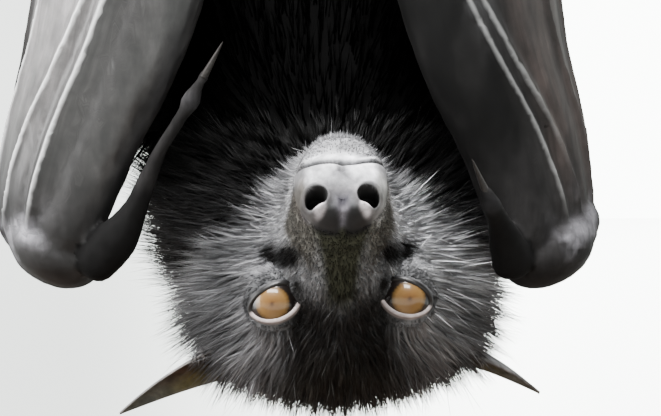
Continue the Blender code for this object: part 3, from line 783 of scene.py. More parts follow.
def lid_patch(side, settings):
    """An eyelid: moist margin, rounded edge, crease and outer slope, as fine rings."""
    radius = settings.eye_radius / MM
    rings = []
    for widen, spread, height in LID_PROFILE:
        centre, ways = almond(settings, side, math.radians(widen), spread)
        rings.append(centre + ways * (radius + height))
    rings.append(centre + ways * (radius - 1.3))
    inner = [centre + almond(settings, side, math.radians(-2), 0.0)[1] * (radius - 1.1)]
    points = np.concatenate(inner + rings)
    count = len(points) // LID_STEPS
    faces = []
    for i in range(count):
        for j in range(LID_STEPS):
            k, m = (j + 1) % LID_STEPS, (i + 1) % count
            faces.append((i * LID_STEPS + j, i * LID_STEPS + k,
                          m * LID_STEPS + k, m * LID_STEPS + j))
    patch = outward(mesh_object("lid", to_world(points), faces))
    edge = np.zeros(len(points))
    edge[:LID_MARGIN_RINGS * LID_STEPS] = 1.0
    edge[LID_MARGIN_RINGS * LID_STEPS:(LID_MARGIN_RINGS + 2) * LID_STEPS] = 0.5
    store(patch.data, "lid_edge", edge)
    turn = np.linspace(0, math.tau, LID_STEPS, endpoint=False)
    # The side of each lid towards the crown is kept pale; skin_tone paints the other side in
    # shadow.
    low = np.sin(turn) + 0.22 * smooth(-0.6, -1.0, np.cos(turn))
    store(patch.data, "lid_low", np.tile(low, count))
    return patch


def build_head(settings):
    """The sculpted head as a closed mesh."""
    points = head_rings()
    rest = points.copy()
    press_face(points, rest)
    sink_eyes(points, settings)
    shape_nose(points, rest)
    close_mouth(points, rest)
    return shell("head_skin", to_world(points), HEAD_AROUND)


def build_ear(side):
    """A thin cupped ear whose root is set into the head."""
    root = to_world(np.array((EAR_ROOT[0], side * EAR_ROOT[1], EAR_ROOT[2])))
    outward_part, rearward, upward = EAR_WAY[side]
    length_way = unit(np.array((side * outward_part, rearward, upward)))
    opens = np.array(EAR_OPENS[side])
    cup_way = unit(opens - length_way * (opens @ length_way))
    width_way = np.cross(length_way, cup_way) * side
    rings = []
    w = np.linspace(-1, 1, EAR_ACROSS)
    for s in np.linspace(0, 1, EAR_STEPS):
        taper = max(1 - s, 0.006) * (0.35 + 0.65 * smooth(-0.02, 0.30, s))
        half = EAR_HALF_WIDTH * taper ** 0.95 * (0.95 + 0.25 * s)
        cup = EAR_CUP * taper ** 1.1 + 0.15
        spine = root + length_way * EAR_LENGTH * s - cup_way * EAR_BOW * math.sin(s * math.pi)
        thick = EAR_THICKNESS * (1 - 0.35 * s) * (0.62 + 0.38 * (1 - w * w))
        ripple = 0.16 * np.sin(s * 46 + w * 2.0) * (1 - w * w) * (s > 0.18)
        lip = 0.22 * np.exp(-((np.abs(w) - 0.93) / 0.06) ** 2)
        place = (spine + width_way * (half * w)[:, None]
                 + cup_way * (cup * w * w)[:, None])
        outer = place - cup_way * (thick * 0.5 + lip)[:, None]
        inner = place + cup_way * (thick * 0.5 + ripple)[:, None]
        rings.append(np.concatenate((outer, inner[::-1])))
    ear = shell("ear", np.concatenate(rings), EAR_ACROSS * 2)
    s = np.repeat(np.linspace(0, 1, EAR_STEPS), EAR_ACROSS * 2)
    edge = np.tile(np.concatenate((w, w[::-1])), EAR_STEPS)
    inside = np.tile(np.repeat((0.0, 1.0), EAR_ACROSS), EAR_STEPS)
    store_colour(ear.data, "own_tone", ear_tone(s, edge, inside))
    store(ear.data, "from_root", s)
    return ear


def ear_tone(s, edge, inside):
    """Brown hollow, yellower at the far edge and grey at the tip, with a pale rim."""
    paint = Paint(np.tile(EAR_COLOURS["hollow"], (len(s), 1)), EAR_COLOURS)
    paint.lay("far edge", smooth(-0.2, 0.9, edge))
    paint.lay("tip", smooth(0.45, 0.8, s))
    paint.lay("back", 1 - inside)
    paint.lay("rim", 0.6 * smooth(0.86, 1.0, np.abs(edge)))
    return paint.tone


# ---------------------------------------------------------------- body and wings

def build_trunk():
    """Neck, chest, belly and rump under the coat."""
    rows = spline(TRUNK_STATIONS, np.linspace(0, len(TRUNK_STATIONS) - 1, 90))
    a = np.linspace(0, math.tau, 72, endpoint=False)
    points = [np.stack((x + (half - coat) * np.cos(a), y + (deep - coat) * np.sin(a),
                        np.full_like(a, up(height))), axis=1)
              for height, x, y, half, deep, coat in rows]
    return shell("trunk", np.concatenate(points), len(a))


def wing_plan(height, side):
    """Control points of the wing's plan curve at the heights, its thickness and fade."""
    rows = spline(HAND_STATIONS, np.linspace(0, len(HAND_STATIONS) - 1, 400))
    x_in, x_out, y_front, x_rear, y_rear, thick = (
        np.interp(height, rows[:, 0], rows[:, k]) for k in range(1, 7))
    fade = np.clip((HAND_TOP + 40 - height) / 60, 0, 1)
    x_in = x_in + SPREAD[side] * 0.5 * fade
    x_out = x_out + SPREAD[side] * 0.6 * fade
    corners = ((x_in, y_front), (x_out * 1.02 - 2, y_front), (x_out + 3.5, y_rear * 0.55),
               (x_rear, y_rear))
    return [np.stack(corner, axis=-1) for corner in corners], thick, fade


def wing_rings(side):
    """The folded hand from the wrist to the ankle, with finger ridges and pleats."""
    rows = spline(HAND_STATIONS, np.linspace(0, len(HAND_STATIONS) - 1, 150))
    outer_a = np.linspace(0, 1, WING_OUTER)
    inner_a = np.linspace(0.985, 0.015, WING_INNER)
    points = []
    for height in rows[:, 0]:
        p, thick, fade = wing_plan(height, side)
        place, normal, _ = bezier(p, outer_a)
        outer = place + normal * ridge(outer_a, height, fade, side)[:, None]
        place, normal, _ = bezier(p, inner_a)
        depth = thick * (1 - 0.45 * inner_a) * np.minimum(
            1, 0.35 + 5 * np.minimum(inner_a, 1 - inner_a))
        depth += 0.8 * np.cos(inner_a * 34 + height * 0.01) * np.minimum(
            1, 8 * np.minimum(inner_a, 1 - inner_a))
        inner = place - normal * depth[:, None]
        flat = np.concatenate((outer, inner))
        points.append(np.stack((side * flat[:, 0], flat[:, 1],
                                np.full(len(flat), up(height))), axis=1))
    return np.concatenate(points)


def bezier(p, a):
    """Points, outward normals and slope of the wing's plan curve."""
    a = np.asarray(a)[:, None]
    b = 1 - a
    place = p[0] * b ** 3 + p[1] * 3 * a * b * b + p[2] * 3 * a * a * b + p[3] * a ** 3
    slope = 3 * ((p[1] - p[0]) * b * b + (p[2] - p[1]) * 2 * a * b + (p[3] - p[2]) * a * a)
    way = unit(slope)
    return place, np.stack((way[:, 1], -way[:, 0]), axis=1), slope


def wing_place(points, side):
    """Place round the wing, outward normal and millimetres per turn of points on it."""
    flat = np.stack((side * points[:, 0], points[:, 1]), axis=1)
    plan, _, _ = wing_plan(points[:, 2] - EYE_LINE_Z, side)
    tries = np.linspace(0, 1, 13)
    gaps = [np.sum((bezier(plan, np.full(len(flat), t))[0] - flat) ** 2, axis=1) for t in tries]
    a = tries[np.argmin(gaps, axis=0)]
    for _ in range(5):
        place, normal, slope = bezier(plan, a)
        span = np.sum(slope ** 2, axis=1)
        a = np.clip(a + np.sum((flat - place) * slope, axis=1) / span, 0, 1)
    outward_way = np.stack((side * normal[:, 0], normal[:, 1], np.zeros(len(a))), axis=1)
    return a, outward_way, np.sqrt(span)[:, None]


def finger_places(height, side):
    """Where the fingers cross the wing's plan at a height."""
    t = np.clip((FINGERS_SPREAD[1] - height) / (FINGERS_SPREAD[1] - FINGERS_SPREAD[0]), 0, 1)
    return [high + (low - high) * t for high, low in FINGER_LINES[side]]


def ridge(a, height, fade, side):
    """How far fingers and pleats stand out of the folded hand."""
    rise = np.zeros_like(a)
    knuckle = KNUCKLE_RISE * math.exp(-((height - KNUCKLE_LEVEL) / KNUCKLE_SPAN) ** 2)
    for place in finger_places(height, side):
        rise += (FINGER_HEIGHT + knuckle) * np.exp(-((a - place) / FINGER_WIDTH) ** 2)
        rise -= 0.55 * np.exp(-((a - place - 0.052) / 0.022) ** 2)
    rear = np.clip((a - 0.7) / 0.15, 0, 1) * (1 - a) / 0.3
    return rise * fade + rear * PLEAT_DEPTH * np.cos(a * math.tau * PLEAT_COUNT / 0.3)


def wing_detail(a, height, side):
    """Crests on the fingers, thin folds beside them, and how far round each finger is."""
    crest = np.zeros_like(a)
    fold = np.zeros_like(a)
    away = []
    for k, place in enumerate(finger_places(height, side)):
        wander = 0.003 * np.sin(height * 0.06 + k * 2.1)
        away.append(a - place - wander)
        crest += np.exp(-(away[-1] / 0.010) ** 2)
        for shift, rise in ((0.030, 0.45), (-0.024, 0.35), (0.062, 0.30)):
            drift = shift * (1 + 0.35 * np.sin(height * 0.035 + k + shift * 90))
            fold += rise * np.exp(-((a - place - drift) / 0.0085) ** 2)
    return crest, fold, np.stack(away[:3], axis=1)


def toe_arc(toe, start, stop, thick_start, thick_end, steps):
    """Stations of a toe or claw that curls over the perch from behind."""
    spread = toe - (TOE_COUNT - 1) / 2
    t = np.linspace(0, 1, steps)
    turn = np.radians(start + (stop - start) * t)
    thick = thick_start + (thick_end - thick_start) * t
    reach = PERCH_RADIUS + 0.45 + np.maximum(thick, TOE_RADIUS * 0.35)
    fan = 3.5 + 0.9 * (start + (stop - start) * t) / 176
    return np.stack((FOOT_X + spread * fan, PERCH_Y + reach * np.cos(turn),
                     PERCH_Z + reach * np.sin(turn), thick, thick), axis=1)


def build_foot(side):
    """Sole and five jointed toes."""
    back = PERCH_Y + PERCH_RADIUS + 0.3
    rows = ((FOOT_X, back + 3.4, 290.0, 3.4, 3.2), (FOOT_X, back + 3.6, 296.0, 4.2, 3.2),
            (FOOT_X, back + 3.4, 303.0, 6.4, 3.0), (FOOT_X, back + 3.0, 311.0, 8.4, 2.7),
            (FOOT_X, back + 2.6, 317.0, 8.8, 2.3))
    pieces = [tube("sole", rows, side, per=6, around=28)]
    for toe in range(TOE_COUNT):
        path = toe_arc(toe, -8, 118, TOE_RADIUS, TOE_RADIUS * 0.8, TOE_RINGS)
        t = np.linspace(0, 1, TOE_RINGS)
        joints = 1 + 0.22 * np.exp(-((t - 0.42) / 0.07) ** 2) + 0.18 * np.exp(
            -((t - 0.78) / 0.06) ** 2) - 0.1 * np.exp(-((t - 0.6) / 0.08) ** 2)
        path[:, 3:5] *= joints[:, None]
        pieces.append(shell("toe", tube_points(path, TOE_AROUND, side), TOE_AROUND))
    return pieces


def build_wing(side):
    """Folded hand, forearm, wrist, upper arm and thumb."""
    return (shell("hand", wing_rings(side), WING_OUTER + WING_INNER),
            tube("forearm", FOREARM_STATIONS, side, around=40, lean=LEAN[side]),
            tube("wrist", WRIST_STATIONS, side, around=32),
            tube("upper_arm", UPPER_ARM_STATIONS, side),
            tube("thumb", THUMB_STATIONS[side], side, around=20))


def label_points(parts):
    """Samples of each part: their places, kinds, and the side if on a wing's outer face."""
    places, marks, sides = [], [], []
    for obj, mark, side in parts:
        own = coords(obj)
        places.append(own)
        marks.append(np.full(len(own), mark))
        outer = np.zeros(len(own))
        if side:
            outer.reshape(-1, WING_OUTER + WING_INNER)[:, :WING_OUTER] = side
        sides.append(outer)
    return np.concatenate(places), np.concatenate(marks), np.concatenate(sides)


def nearest(places, points):
    """Index of the nearest sample to each point."""
    tree = KDTree(len(places))
    for i, place in enumerate(places):
        tree.insert(place, i)
    tree.balance()
    return np.array([tree.find(q)[1] for q in points])


def flesh_parts():
    """Parts of the body, each with what it is and, for a folded hand, its side."""
    parts = [(build_trunk(), HIDE, 0)]
    for side in (LEFT, RIGHT):
        hand, forearm, wrist, upper, thumb = build_wing(side)
        leg = tube("leg", LEG_STATIONS, side, around=28)
        parts += [(hand, LEATHER, side), (forearm, LEATHER, 0), (upper, HIDE, 0),
                  (thumb, THUMB, 0), (wrist, WRIST, 0), (leg, HIDE, 0)]
        parts += [(piece, LEATHER, 0) for piece in build_foot(side)]
    return parts


def fuse(parts, grain):
    """Join the parts and fuse them into one smooth closed body."""
    flesh = join([part[0] for part in parts], "flesh")
    modifier = flesh.modifiers.new("fuse", "REMESH")
    modifier.mode = "VOXEL"
    modifier.voxel_size = grain
    bake_modifiers(flesh)
    modifier = flesh.modifiers.new("soften", "SMOOTH")
    modifier.factor = 0.5
    modifier.iterations = 4
    return bake_modifiers(flesh)


def wing_fields(points, normal, mark, wing_side):
    """Place round the wing, crests, folds and distance past each finger.

    On the wings' outer faces the normals are changed to those of the smooth plan.
    """
    count = len(points)
    height = points[:, 2] - EYE_LINE_Z
    a, crest, fold = np.zeros(count), np.zeros(count), np.zeros(count)
    finger_off = np.full((count, 3), -FAR_OFF)
    for side in (LEFT, RIGHT):
        beside = (points[:, 0] * side > 0) & (mark != HIDE)
        turn, flat, span = wing_place(points[beside], side)
        own = (wing_side == side)[beside]
        a[beside] = turn
        normal[beside] = np.where(own[:, None], flat, normal[beside])
        lines, folds, away = wing_detail(turn, height[beside], side)
        crest[beside], fold[beside] = lines * own, folds * own
        finger_off[beside] = away * span
    return a, crest, fold, finger_off


def build_flesh(settings):
    """Trunk, arms, wings and legs fused into one smooth body."""
    parts = flesh_parts()
    places, marks, wing_sides = label_points(parts)
    flesh = fuse(parts, settings.voxel)
    points, normal = coords(flesh), normals(flesh)
    found = nearest(places, points)
    mark, wing_side = marks[found], wing_sides[found]
    height = points[:, 2] - EYE_LINE_Z
    a, crest, fold, finger_off = wing_fields(points, normal, mark, wing_side)
    fade = (1 - smooth(170, 240, height)) * smooth(14, 26, height)
    crest, fold = crest * fade, fold * fade
    wrinkle_wings(flesh, points, normal, mark, crest, fold)
    mesh = flesh.data
    at = (points, normal, mark, a, wing_side)
    store_colour(mesh, "own_tone", body_tone(*at, crest, fold, settings))
    store(mesh, "gloss", body_gloss(*at))
    store(mesh, "kind", mark)
    lie = points * MM * (1, 1, 0.12)
    on_wing = wing_side != 0
    lie[on_wing] = np.stack((a * 0.09 + wing_side, np.zeros(len(a)), height * MM * 0.07),
                            axis=1)[on_wing]
    store(mesh, "lie", lie, "FLOAT_VECTOR")
    store(mesh, "finger_off", finger_off, "FLOAT_VECTOR")
    # Painted highlight: pale lines along the fingers, strong on the front of the left wing and
    # weak on the right.
    store(mesh, "painted_finger_highlight", fade * np.where(
        wing_side == LEFT, 0.55 * smooth(0.15, -0.25, normal[:, 1]), 0.13 * smooth(0.30, 0.16, a)))
    modifier = flesh.modifiers.new("thin", "DECIMATE")
    modifier.ratio = min(1.0, FLESH_TRIANGLES / (2 * len(mesh.polygons)))
    return bake_modifiers(flesh)


def wrinkle_wings(obj, points, normal, mark, crest, fold):
    """Crests, fine long folds in the wing skin, and creased wrists."""
    lengthwise = points * (1.0, 1.0, 0.16)
    amount = 0.40 * crest + 0.28 * fold
    streaks = noise(lengthwise, 3.2, 11, 4) * 0.07 + noise(lengthwise, 9.0, 14) * 0.10
    amount += np.where(mark == LEATHER, streaks, 0)
    creases = noise(points * (1.0, 1.0, 1.6), 4.6, 12, 4)
    near_wrist = np.exp(-((points[:, 2] - up(12)) / 9) ** 2) * (np.abs(points[:, 0]) > 34)
    amount += near_wrist * creases * 0.07
    amount += np.where(mark == THUMB, noise(points, 2.6, 15) * 0.05, 0)
    set_coords(obj, points + normal * amount[:, None])


def facing_front(normal):
    """One on skin that faces the front: on the left wing, painted light is laid there and the
    leather shines more.
    """
    return smooth(0.05, -0.32, normal[:, 1])


def outer_joint(points, across, level, wide, tall):
    """One at the joint on the wrist's outer side, fading over the given half sizes."""
    height = points[:, 2] - EYE_LINE_Z
    return np.exp(-((np.abs(points[:, 0]) - across) / wide) ** 2
                  - ((height - level) / tall) ** 2)


def lay_thumbs(paint, points, mark, settings):
    """Dark thumbs with paler knuckles."""
    height = points[:, 2] - EYE_LINE_Z
    thumb = (mark == THUMB) * 1.0
    paint.lay(np.array(settings.leather) * 0.13, thumb)
    for side in (LEFT, RIGHT):
        row = THUMB_STATIONS[side][THUMB_KNUCKLE[side]]
        joint = np.array((side * row[0], row[1], up(row[2])))
        near = np.exp(-(np.linalg.norm(points - joint, axis=1) / 2.0) ** 4)
        # Pale knuckle skin, painted paler on the left thumb as light.
        paint.lay(settings.knuckle, near * THUMB_KNUCKLE_PALE_AND_LIT[side] * thumb)
        tip = smooth(row[2] + 1.5, row[2] + 4, height) * thumb
        paint.lay("thumb tip", tip * 0.6)


def body_tone(points, normal, mark, a, wing_side, crest, fold, settings):
    """Colour of body, wings, wrists, thumbs and feet, with painted light on the front of the left
    wing and painted shade on the right side.
    """
    height = points[:, 2] - EYE_LINE_Z
    leather, painted_light_leather, knuckle = (np.array(colour) for colour in (
        settings.leather, settings.painted_light_leather, settings.knuckle))
    left = (points[:, 0] < FACE_X).astype(float)
    right = 1 - left
    before = facing_front(normal)
    wing = np.abs(wing_side)
    bare = mark != HIDE
    # Painted light: the skin colour is 1.28 times its value on the front of the left wing and 0.40
    # times elsewhere.
    paint = Paint(leather * (0.40 + 0.88 * left * before)[:, None], WING_COLOURS)
    # Painted light: a pale colour laid on the left wing's front, stronger higher up, stands for
    # light falling there.
    thin = left * wing * smooth(-0.01, 0.06, a - finger_places(height, LEFT)[0]) * before
    raised = smooth(20, 60, height)
    paint.lay(painted_light_leather, thin * raised * 0.72)
    paint.lay(painted_light_leather * 1.9, thin * smooth(75, 120, height))
    # Painted shade: the right side's bare skin, apart from the wing's outer part, is made nearly
    # black.
    paint.lay(leather * 0.09, right * bare * (1 - wing * smooth(0.06, 0.14, a)))
    paint.lay(settings.outer_leather, right * wing * smooth(0.14, 0.26, a))
    mottle = smooth(0.1, 0.9, noise(points * (1, 1, 0.35), 14.0, 31))
    paint.lay(leather * 0.6, mottle * 0.45 * (1 - wing * left * raised))
    # Painted highlight: the folds on the front of the left wing are painted pale.
    paint.lay("fold", 0.35 * fold * left * before)
    paint.lay("front edge", right * wing * smooth(45, 100, height)
              * smooth(0.0, 0.05, a) * smooth(0.15, 0.11, a))
    paint.lay(leather * 0.62, smooth(36, 14, height) * bare)
    lay_thumbs(paint, points, mark, settings)
    patch = smooth(0.15, 0.75, noise(points, 6.5, 33, 4))
    paint.lay(knuckle, patch * outer_joint(points, 59.5, 13.5, 5.0, 6))
    paint.lay(knuckle * 1.5, outer_joint(points, 58.8, 14.6, 2.8, 2.3) * (0.55 + 0.45 * patch))
    paint.lay(knuckle, 0.4 * crest * np.exp(-((height - KNUCKLE_LEVEL) / 6) ** 2))
    paint.lay("hide", (mark == HIDE) * 1.0)
    return paint.tone


def body_gloss(points, normal, mark, a, wing_side):
    """Shine of the wing leather, least on the shaded side and low on the wrists."""
    left = (points[:, 0] < FACE_X).astype(float)
    wing = np.abs(wing_side)
    gloss = np.where(mark == HIDE, 0.0, np.where(mark == THUMB, 0.10, 1.0))
    gloss -= 0.85 * left * (1 - facing_front(normal)) * (gloss > 0.5)
    gloss -= (0.80 - 0.15 * wing * smooth(0.06, 0.14, a)) * (1 - left) * (gloss > 0.5)
    gloss -= 0.45 * smooth(30, 16, points[:, 2] - EYE_LINE_Z) * (gloss > 0.5)
    return gloss


def front_of(forward):
    """One on the snout's front, where the nostrils are."""
    return smooth(28, 31, forward)


def head_tone(f, l, u):
    """Colour of hide and coat by place on the head."""
    paint = Paint(np.tile(HEAD_COLOURS["plain"], (len(f), 1)), HEAD_COLOURS)
    lay_hair(paint, f, l, u)
    lay_shadows(paint, f, l, u)
    lay_nose(paint, f, l, u)
    lay_nostrils(paint, f, l, u)
    return paint.tone


def lay_hair(paint, f, l, u):
    """Nape, jaw, the right cheek's painted light, forehead and crown with painted shade, bridge of
    the muzzle, painted shade at the eyes' inner corners, throat and chin.
    """
    a = np.abs(l)
    lay = paint.lay
    lay("nape", smooth(-6, -22, f))
    lay("jaw", smooth(-2, 10, f) * smooth(8, 12, a) * smooth(4, -4, u))
    # Painted light: the right cheek is painted paler than the left.
    lay("lit right cheek", smooth(-20, -6, f) * smooth(9, 15, l) * smooth(8, 0, u) * 0.8)
    # Partly painted shade: forehead and crown face downward and are painted darker; the forehead
    # is also dark in its own colour.
    lay("forehead", smooth(-4, 3, u) * smooth(14, 8, a) * smooth(14, 5, f))
    lay("crown", smooth(8, 14, u) * smooth(30, 14, a))
    lay("muzzle", smooth(11, 18, f) * smooth(3.5, 6.0, a) * smooth(3, -3, u))
    bridge = np.interp(f, (8, 14, 22, 30), (2.6, 3.2, 4.2, 5.6))
    lay("bridge", smooth(7, 12, f) * smooth(1.3, -1.3, a - bridge) * smooth(-6, -2, u))
    # Painted shade in the hollow before each eye's inner corner.
    lay("corner shade", 1.6 * np.exp(-((f - 7.8) / 2.6) ** 2 - ((a - 8.4) / 1.4) ** 2
                                    - ((u + 0.1) / 1.8) ** 2))
    lay("throat", smooth(-10, -14, u) * smooth(2, 16, f))
    lay("lower lip", smooth(-13, -16, u) * smooth(16, 28, f))
    lay("chin", smooth(-14.7, -17.0, u) * smooth(16, 25, f) * 0.93)


def lay_shadows(paint, f, l, u):
    """Pale cheeks, the right one painted brighter as light; the outer head low down darkened as
    painted shade; a pale band over the eyes; painted shade in the muzzle's hollows.
    """
    a = np.abs(l)
    level = math.sin(HEAD_PITCH) * f - math.cos(HEAD_PITCH) * u
    cheeks = smooth(8, 12, a) * smooth(4, 9, level) * smooth(27, 20, f)
    # The cheeks are paler, and the right one is painted brighter still as light.
    paint.scale(1 + cheeks * np.where(l > 0, 1.15 * smooth(22, 15, a), 0.45))
    # Painted shade: the outer head low down is darkened.
    paint.scale(1 - 0.68 * smooth(16, 21, a) * smooth(4, -2, level))
    paint.scale(1 + 0.45 * np.exp(-((a - 15) / 5) ** 2 - ((level + 6) / 2.5) ** 2))
    # Painted shade in the hollows beside the muzzle.
    out = a - HOLLOW_ACROSS
    paint.lay("hollow", 3.4 * smooth(1, 5, f) * np.exp(
        -np.abs(out / 3.6) ** 3 - ((level - HOLLOW_LEVEL - 0.10 * out) / 1.9) ** 2))


def lay_nose(paint, f, l, u):
    """Bare pad of the nose, its flanks with the right one painted lit, the upper lip with a
    painted highlight, and the groove's skin.
    """
    a = np.abs(l)
    lay = paint.lay
    pad = smooth(29, 32, f) * smooth(-2.0, -6.0, u) * smooth(-17.0, -15.2, u)
    lay("pad", pad)
    flank = smooth(24, 30, f) * smooth(6.2, 8.0, a) * smooth(-13, -9, u)
    lay("left flank", flank)
    # Painted light: the muzzle's right flank is painted paler than the left.
    lay("lit right flank", flank * (l > 0))
    # The upper lip is pale skin, painted brighter still as a highlight where light falls on it.
    lay("upper lip", pad * smooth(-8.4, -10.2, u) * smooth(7.8, 6.0, a)
        * np.maximum(smooth(0.5, 1.8, a), smooth(-12.4, -13.2, u)))
    lay("groove", smooth(31, 33, f) * np.exp(-(l / 2.1) ** 2) * smooth(-12.2, -10.6, u))
    front = front_of(f)
    lay("spot", front * np.exp(-((a - 1.4) / 0.75) ** 2 - ((u + 9.3) / 0.6) ** 2))
    lay("groove line", front * np.exp(-(l / 0.45) ** 2 - ((u + 7.6) / 1.3) ** 2))
    lay("nose top", front * smooth(-4.4, -3.2, u) * smooth(6.4, 5.4, a)
        * (1 - 0.85 * np.exp(-(l / 0.6) ** 2)))
    lay("nose ridge", front * np.exp(-(l / 0.95) ** 2 - ((u + 3.6) / 1.0) ** 2))


def lay_nostrils(paint, f, l, u):
    """Rims of the nostrils, their holes painted dark as shade, their pale curls painted brighter
    as a highlight, and the line of the mouth.
    """
    front = front_of(f)
    lay = paint.lay
    d, curl = nostril_shape(np.abs(l) - NOSTRIL[1], u - NOSTRIL[2])
    lay("rim", front * np.exp(-((d - 1.25) / 0.2) ** 2) * smooth(-9.0, -6.0, u) * 0.7)
    # Painted shade inside the nostrils' holes.
    lay("hole", front * (1 - smooth(1.0, 1.14, d)) * (1 - curl))
    # The curls are pale skin, painted brighter still as a highlight.
    lay("curl", front * curl)
    gap = u - mouth_line(l)
    lay("mouth", np.exp(-(gap / 0.42) ** 2) * smooth(9, 14, f))
    lay("lip shade", 0.9 * front * np.exp(
        -((l - 5.6) / 2.4) ** 2 - ((gap + 1.0 + 0.14 * l) / 0.6) ** 2))


class Surface:
    """The skin's points, with where they lie on the body and on the head."""

    def __init__(self, skin):
        self.mesh = skin.data
        self.points = coords(skin)
        self.normal = normals(skin)
        self.head = to_head(self.points)
        self.height = self.points[:, 2] - EYE_LINE_Z
        self.aside = self.points[:, 0] - FACE_X
        self.part = np.rint(read(self.mesh, "part")).astype(int)
        self.on_head = self.part >= HEAD
        self.lid_edge = read(self.mesh, "lid_edge")


def bare_nose(at):
    """One where the nose has no hair."""
    f, l, u = at.head.T
    nose = at.on_head * smooth(30.4, 32.4, f) * smooth(-0.7, 0.1, u - mouth_line(l))
    return np.maximum(nose, at.on_head * smooth(36.3, 36.9, f) * (u > mouth_line(l) - 2))


def inner_corner(at):
    """One at the inner corners of the eyes, where the hair is shortest."""
    f, l, u = at.head.T
    return np.exp(-((f - 9) / 5.5) ** 2 - ((np.abs(l) - 8) / 3) ** 2 - ((u - 1.5) / 4) ** 2)


def fur_amount(at, nose):
    """How much hair the skin grows: none on leather, nose, lid rims and inside the head."""
    f, l, u = at.head.T
    hide = np.rint(read(at.mesh, "kind")) == HIDE
    fur = np.where(at.on_head | hide, 1.0, 0.0) * (1 - nose)
    fur[(at.part == LID) & (at.lid_edge > 0.2)] = 0
    fur[(at.part == BODY) & (at.height > ANKLE_HEIGHT)] = 0
    fur[at.part == EAR] = (read(at.mesh, "from_root")[at.part == EAR] < 0.30) * 0.8
    rows = spline(HEAD_STATIONS, np.interp(f, [r[0] for r in HEAD_STATIONS][::-1], np.arange(
        len(HEAD_STATIONS))[::-1]))
    reach = np.where(u > rows[:, 3], rows[:, 2] - rows[:, 3], rows[:, 3] - rows[:, 4])
    depth = np.hypot(l / rows[:, 1], (u - rows[:, 3]) / reach)
    fur[(at.part == BODY) & (depth < 0.80) & (f > -40) & (f < 36)] = 0
    return fur


def fur_way(at):
    """The lie of the coat: back over the head, out as a ruff, then along the body."""
    radial = unit(np.stack((at.aside, np.zeros(len(at.aside)), at.height - RUFF_CENTRE),
                           axis=1))
    back = HEAD_AXES @ np.array((-1.0, 0.0, 0.0))
    way_head = back + radial * (0.9 * smooth(14, -12, at.head[:, 0]))[:, None]
    upward = smooth(24, 66, at.height)[:, None]
    way_body = radial * (1 - upward) + np.array((0.0, 0.2, 1.0)) * upward
    way = np.where(at.on_head[:, None], way_head, way_body)
    return unit(way - at.normal * np.sum(way * at.normal, axis=1, keepdims=True))


def fur_length(at, way, settings):
    """Length of the hair in millimetres, shortest on the face and beside the eyes."""
    f, _, u = at.head.T
    chin = smooth(-19, -24, u)
    length = np.interp(f, FUR_FORWARD, FUR_LENGTH)
    length = length * (1 - 0.25 * smooth(2, 12, u)) + 2.6 * chin * smooth(31, 16, f)
    length = length + 1.9 * chin * smooth(24, 28, f)
    length = np.where(at.on_head, length, 11.0 + 1.0 * smooth(60, 100, at.height))
    length = length * (1 - 0.5 * smooth(190, 215, at.height) * ~at.on_head)
    full = 1 + 0.38 * smooth(-10, -28, at.aside) * smooth(60, 30, at.height)
    full += 0.30 * smooth(14, 24, at.aside) * smooth(40, 24, at.height)
    length = length * full + 4.2 * at.on_head * smooth(6, 14, u) * smooth(-6, -16, f)
    length = length * (1 - 0.72 * inner_corner(at))
    length = np.where(at.part == LID, 1.1, np.where(at.part == EAR, 2.2, length))
    for side in (LEFT, RIGHT):
        off = at.head - eye_frame(side, settings)[0]
        far = np.linalg.norm(off, axis=1)
        facing = np.sum((off @ HEAD_AXES.T) * way, axis=1) < 0
        most = 0.8 + 0.7 * np.maximum(far - settings.eye_radius / MM - 0.8, 0)
        near = facing & at.on_head & (far < EYE_CLEARANCE)
        length = np.where(near, np.minimum(length, most), length)
    return length


def fur_lift(at):
    """How steeply the hair stands off the skin."""
    f, _, u = at.head.T
    lift = np.where(at.on_head, 0.32 + 0.55 * smooth(4, -12, f) + 0.9 * smooth(-19, -24, u),
                    0.80 - 0.45 * smooth(30, 80, at.height))
    return np.where(at.part == LID, 0.35, lift * (1 - 0.7 * inner_corner(at)))


def coat_tone(at, coat):
    """Colour of the body's coat, greyer low on the shoulders, with painted light and shade: paler
    beside the right cheek, paler higher and darker lower on the left outside, and the black chest
    front darkened further.
    """
    shade = smooth(28, 7, at.height)[:, None] * np.array((0.060, 0.059, 0.061))
    # Painted shade: the coat on the chest front is darkened further.
    front = (smooth(16, 6, at.points[:, 1]) * smooth(24, 44, at.height))[:, None]
    # Painted light: the coat beside the right cheek is made much paler.
    lit_silver = smooth(21, 27, at.aside) * smooth(26, 12, at.height) * smooth(-8, 2, at.height)
    # Painted light and shade: on the left outside the coat is paler higher up and darker lower
    # down.
    outside = smooth(-27, -31, at.aside)
    shade = shade * (1 + 8.0 * lit_silver + 2.6 * outside * smooth(9, 14, at.height)
                     - 0.8 * outside * smooth(12, 7, at.height))[:, None]
    return np.array(coat.black) * (1 - 0.88 * front) + shade


def skin_tone(at, fur, rim, coat):
    """Colour of skin and coat: head, ears, lids and body."""
    own_tone = read(at.mesh, "own_tone", 4)[:, :3]
    tone = np.where(at.on_head[:, None], head_tone(*at.head.T), own_tone)
    tone[at.part == EAR] = own_tone[at.part == EAR]
    furred = (at.part == BODY) & (fur > 0.5)
    tone[furred] = coat_tone(at, coat)[furred]
    # Painted shade: the lids are darkened most on the side away from the crown, and their rims
    # there are painted as shadow; towards the crown the rims keep their pale colour.
    low = smooth(-0.04, 0.20, read(at.mesh, "lid_low"))[:, None]
    margin = np.where(at.lid_edge > 0.9, 0.85, 0.36)[:, None]
    tone = np.where((at.part == LID)[:, None], tone * (0.26 + 0.3 * low), tone)
    return np.where(rim[:, None] > 0, (1 - low) * LID_PAINTED_SHADOW + low * margin * LID_PALE, tone)


